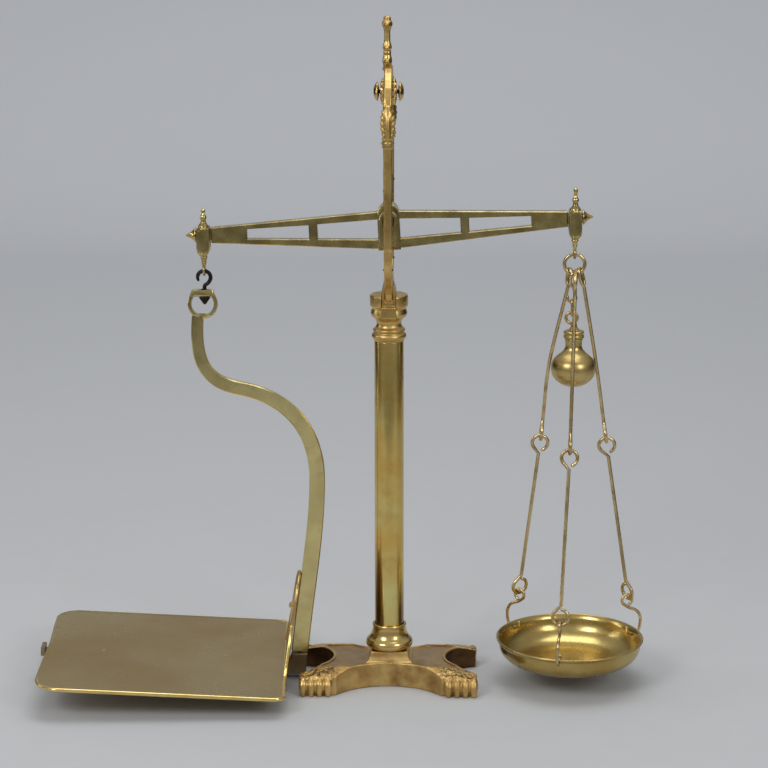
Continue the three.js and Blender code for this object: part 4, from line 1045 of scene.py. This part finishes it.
def build_hanger(word, seat, azimuth, across, start, bow, joint):
    a, seat_r = math.radians(seat * 0.9), 6.2
    crown = V((END_X + seat_r * math.sin(a), 0, RING_Z - seat_r * math.cos(a)))
    tail = V((start[0], start[1] * 0.6, 395.2))
    bowed, mid = V((*bow, BALL.z)), V((*joint, JOINT_Z))
    foot = radial(azimuth, HOOK_SEAT, LINK_FOOT_Z)
    reach = LINK_EYE - LINK_WIRE - GAP
    up, down = (bowed - mid).normalized(), (foot - mid).normalized()
    loop = long_loop(crown, tail, 3.9, math.radians(seat * 0.45))
    shank = [tail + (bowed - tail) * 0.03, bowed]
    upper = Form().add(*link(loop, shank, mid + up * reach, square_to(up, 90)))
    finish_piece(upper.object("upper_wire_" + word), "hanger", "wire_brass", WIRE, "upper_link_" + word)
    eye = mid + down * reach
    head = arc(eye, down, square_to(down, 0), LINK_EYE, 24, 305, 26)
    lower = Form().add(*link(head, [eye + down * (LINK_EYE * 1.5)], foot, square_to(down, across)))
    finish_piece(lower.object("lower_wire_" + word), "hanger", "wire_brass", WIRE, "lower_link_" + word)
    hook = Form().add(*pan_hook(azimuth))
    finish_piece(hook.object("rim_hook_" + word), "hanger", "wire_brass", WIRE, "pan_hook_" + word)


def build_pan():
    form = Form().add(*lathe([
        (0, 13.2), (38, 15.8), (50, 19.4), (60, 23.6), (66, 28.5), (68.8, 34), (69.6, 40.6), (70.6, 42.4),
        (72.0, 43.4), (72.1, 44.6), (71.5, 45.2), (70.6, 45.1), (69.2, 43.6), (67.6, 41.0), (66.6, 35.0),
        (64.0, 29.4), (58.8, 24.2), (52.6, 20.6), (45, 19.0), (30, 18.0), (0, 17.6)], 128, 3.0))
    pan = form.object("pan_body", 50)
    pan.data.transform(Matrix.Translation((PAN_X * MM, 0, 0)))
    cutters = []
    for _, _, azimuth, *_ in HANGERS:
        turn = Matrix.Translation((PAN_X, 0, 0)) @ Matrix.Rotation(math.radians(azimuth), 4, "Z")
        bore = rod(HOLE_RADIUS, 60, 80, 24)
        cutters.append(Form().add(*bore, turn @ along_x(0, 0, HOLE_Z)).object("bore"))
    carve(pan, *cutters)
    shade(pan, 50)
    finish_piece(pan, "hanger", "polished_brass", PAN_BRASS, "weights_pan")


def build_ball_hook():
    hook_eye, catch_eye, catch_z = 4.2, 4, 382.6
    a = math.radians(-17)
    outward = V((math.sin(a), 0, -math.cos(a)))
    centre = V((END_X, 0, RING_Z)) + outward * (RING_RADIUS + hook_eye - BALL_WIRE - RING_WIRE - GAP)
    bend = arc(centre, outward, Y, hook_eye, 30, 305, 24)
    lead = smooth([(centre.x - 0.6, -0.8, centre.z - 6.6), (centre.x + 1, BALL.y, centre.z - 10.5),
                   (BALL_EYE_X + 2.6, BALL.y, 388.6)], 5)
    catch = arc(V((BALL_EYE_X, BALL.y, catch_z)), X, Z, catch_eye, 40, -200, 24)
    form = Form().add(*tube(bend + lead + catch, BALL_WIRE, 14))
    finish_piece(form.object("ball_wire"), "hanger", "wire_brass", WIRE, "ball_hook")
    link_top, link_low = catch_z - catch_eye + BALL_WIRE + SHACKLE_WIRE + GAP, 365.9
    upper = arc(V((BALL_EYE_X, BALL.y, link_top - SHACKLE_TURN)), Y, Z, SHACKLE_TURN, 8, 180, 14)
    lower = arc(V((BALL_EYE_X, BALL.y, link_low + SHACKLE_TURN)), Y, Z, SHACKLE_TURN, 180, 352, 14)
    form = Form().add(*tube(upper + lower, SHACKLE_WIRE, 14))
    finish_piece(form.object("ball_shackle"), "hanger", "wire_brass", WIRE, "ball_link")


def build_ball():
    z = BALL.z
    shift = Matrix.Translation((BALL.x, BALL.y, 0))
    outer = [(21.4 * math.cos(math.radians(a)), z - 0.4 + 17.8 * math.sin(math.radians(a)))
             for a in range(-84, 1, 12)]
    outer += [(21.2, z + 3.2), (20.3, z + 6.4), (18.6, z + 9.2), (15.4, z + 12.3), (11.6, z + 15.4),
              (9.0, z + 18.4)]
    shell = [(0, z - 18.2), *outer, (7.9, z + 21.4), (8.2, 341.8), (9.2, 344), (6.5, 344),
             (6.5, z + 19.2), (13.6, z + 12.0), (18.8, z + 6.4), (20, z + 0.6), (19.4, z - 4.4),
             (15.2, z - 10.8), (8, z - 15.2), (0, z - 16.6)]
    form = Form().add(*lathe(shell, 80, 1.2), shift)
    finish_piece(form.object("ball_shell", 60), "ball", "polished_brass", BALL_BRASS, "tare_ball")
    lid = Form().add(*lathe([
        (0, 336.6), (6.1, 336.6), (6.1, 344.3), (9.6, 344.3), (9.9, 345.0), (9.9, 346.6), (9.1, 347.3),
        (9.1, 348.3), (9.8, 349.0), (9.8, 350.4), (8.6, 351.3), (6.0, 351.9), (4.2, 353.0),
        (3.0, 355.2), (2.6, 358.4), (0, 358.6)], 64, 0.4), shift)
    lid.add(*torus(V((BALL_EYE_X, BALL.y, 363.6)), X, Z, 5.3, 1.5))
    finish_piece(lid.object("ball_cap", 50, weld=False), "ball_lid", "polished_brass", BALL_BRASS,
                 "tare_ball_lid")
    ring = Form().add(*torus(V((END_X, 0, RING_Z)), X, Z, RING_RADIUS, RING_DRAWN, 72, 18))
    finish_piece(ring.object("ring_wire"), "ring", "wire_brass", WIRE, "hanging_ring")
    dress("lead_shot", LEAD, 0.3)


def dress_rest():
    for node in ("tie_rod", "tie_rod_nut", "foot_screw_left", "foot_screw_right", "centre_knife_edge",
                 "left_knife_edge", "right_knife_edge"):
        dress(node, STEEL, 0)
    for node in ("front_upper_pin", "front_lower_pin", "rear_upper_pin", "rear_lower_pin"):
        dress(node, IRON, 0)


# ---------- stage, lights and camera ----------
def build_stage():
    """A sheet of pale paper: level under the scale, then curved up to a far wall. Its colour is painted
    lighter far away, as painted light on the far wall.
    """
    near, far, wide, bend, top = -1300, 2400, 1700, 600, 3200
    n = Nodes("paper")
    grain = n.noise(30.0, 3.0)
    tone = n.mix(n.ramp(grain, 0.3, 0.7), (0.505, 0.515, 0.530), (0.512, 0.522, 0.537))
    # Painted light: the paper's colour brightens towards the far wall.
    tone = n.mix(n.ramp(n.axis("Y"), 0.3, 3.0), tone, (0.74, 0.755, 0.785))
    n.link(tone, n.shader.inputs["Base Color"])
    n.shader.inputs["Roughness"].default_value = 0.75
    n.link(n.bump(n.noise(500.0, 2.0), 0.02), n.shader.inputs["Normal"])
    section = [(near, 0), (far, 0)]
    section += [(far + bend * math.sin(math.radians(a)), bend - bend * math.cos(math.radians(a)))
                for a in range(6, 91, 6)]
    section += [(far + bend, top)]
    verts, faces = [], []
    for x in (-wide, wide):
        verts += [(x, y, z) for y, z in section]
    count = len(section)
    for i in range(count - 1):
        faces.append([i, i + 1, i + 1 + count, i + count])
    sweep = Form().add(verts, faces).object("paper_sweep", 60)
    sweep.data.materials.append(n.owner)


def area(name, place, aim, size, energy):
    data = bpy.data.lights.new(name, "AREA")
    data.shape = "RECTANGLE"
    data.size, data.size_y = size
    data.energy = energy
    obj = bpy.data.objects.new(name, data)
    bpy.context.scene.collection.objects.link(obj)
    obj.location = place
    obj.rotation_euler = (V(aim) - V(place)).to_track_quat("-Z", "Y").to_euler()


def build_lights():
    area("key_box", (-1.3, -1.7, 1.7), (0, 0, 0.35), (0.8, 0.9), 17)
    area("right_box", (1.5, -1.7, 1.4), (0, 0, 0.3), (0.6, 0.9), 11)
    area("top_box", (0.1, 0.3, 2.1), (0, 0, 0.2), (1.6, 1.2), 15)
    area("left_strip", (-2.1, 0.1, 0.9), (0, 0, 0.3), (0.3, 1.4), 5)
    build_world()
    bpy.context.scene.view_settings.view_transform = "Standard"


def build_world():
    """A dim room, bright above and behind the camera. The camera itself sees a pale grey instead."""
    n = Nodes("studio", bpy.data.worlds, "Background", "Generated")
    above = n.ramp(n.axis("Z"), 0.05, 0.75)
    behind = n.maths("MULTIPLY", n.ramp(n.axis("Y"), 0.35, -0.75, 0.0, 0.64),
                     n.ramp(n.axis("Z"), -0.3, 0.05, 0.3, 1.0))
    room = n.mix(n.maths("ADD", above, behind), (0.035, 0.03, 0.026), (0.86, 0.87, 0.88))
    n.link(room, n.shader.inputs["Color"])
    n.shader.inputs["Strength"].default_value = 0.5
    pale = n.new("ShaderNodeBackground")
    pale.inputs["Color"].default_value = (0.43, 0.44, 0.45, 1)
    either = n.new("ShaderNodeMixShader")
    n.link(n.new("ShaderNodeLightPath").outputs["Is Camera Ray"], either.inputs[0])
    n.link(n.shader.outputs[0], either.inputs[1])
    n.link(pale.outputs[0], either.inputs[2])
    n.link(either.outputs[0], n.tree.nodes["World Output"].inputs["Surface"])
    bpy.context.scene.world = n.owner


def build_camera():
    """The camera that was fitted to the photograph."""
    distance, target, focal_px, photo_px = 2.303, V((-0.0049, 0, 0.2983)), 2400, 768
    pitch, heading, roll = math.radians(12.94), math.radians(1.48), math.radians(-0.10)
    away = V((math.sin(heading) * math.cos(pitch), -math.cos(heading) * math.cos(pitch), math.sin(pitch)))
    data = bpy.data.cameras.new("camera")
    data.sensor_width = 36
    data.lens = focal_px * data.sensor_width / photo_px
    camera = bpy.data.objects.new("camera", data)
    bpy.context.scene.collection.objects.link(camera)
    camera.location = target + away * distance
    camera.rotation_mode = "QUATERNION"
    aim = (-away).to_track_quat("-Z", "Y")
    camera.rotation_quaternion = aim @ Matrix.Rotation(roll, 3, "Z").to_quaternion()
    data.clip_end = 20
    bpy.context.scene.camera = camera


build_base()
build_plinth()
build_column()
build_capital()
build_frame()
build_beam()
build_box_end("left", -END_X, LEFT_Z, 25)
build_box_end("right", END_X, RIGHT_Z, 28.4)
build_goods()
for hanger in HANGERS:
    build_hanger(*hanger)
build_pan()
build_ball_hook()
build_ball()
dress_rest()
build_stage()
build_lights()
build_camera()
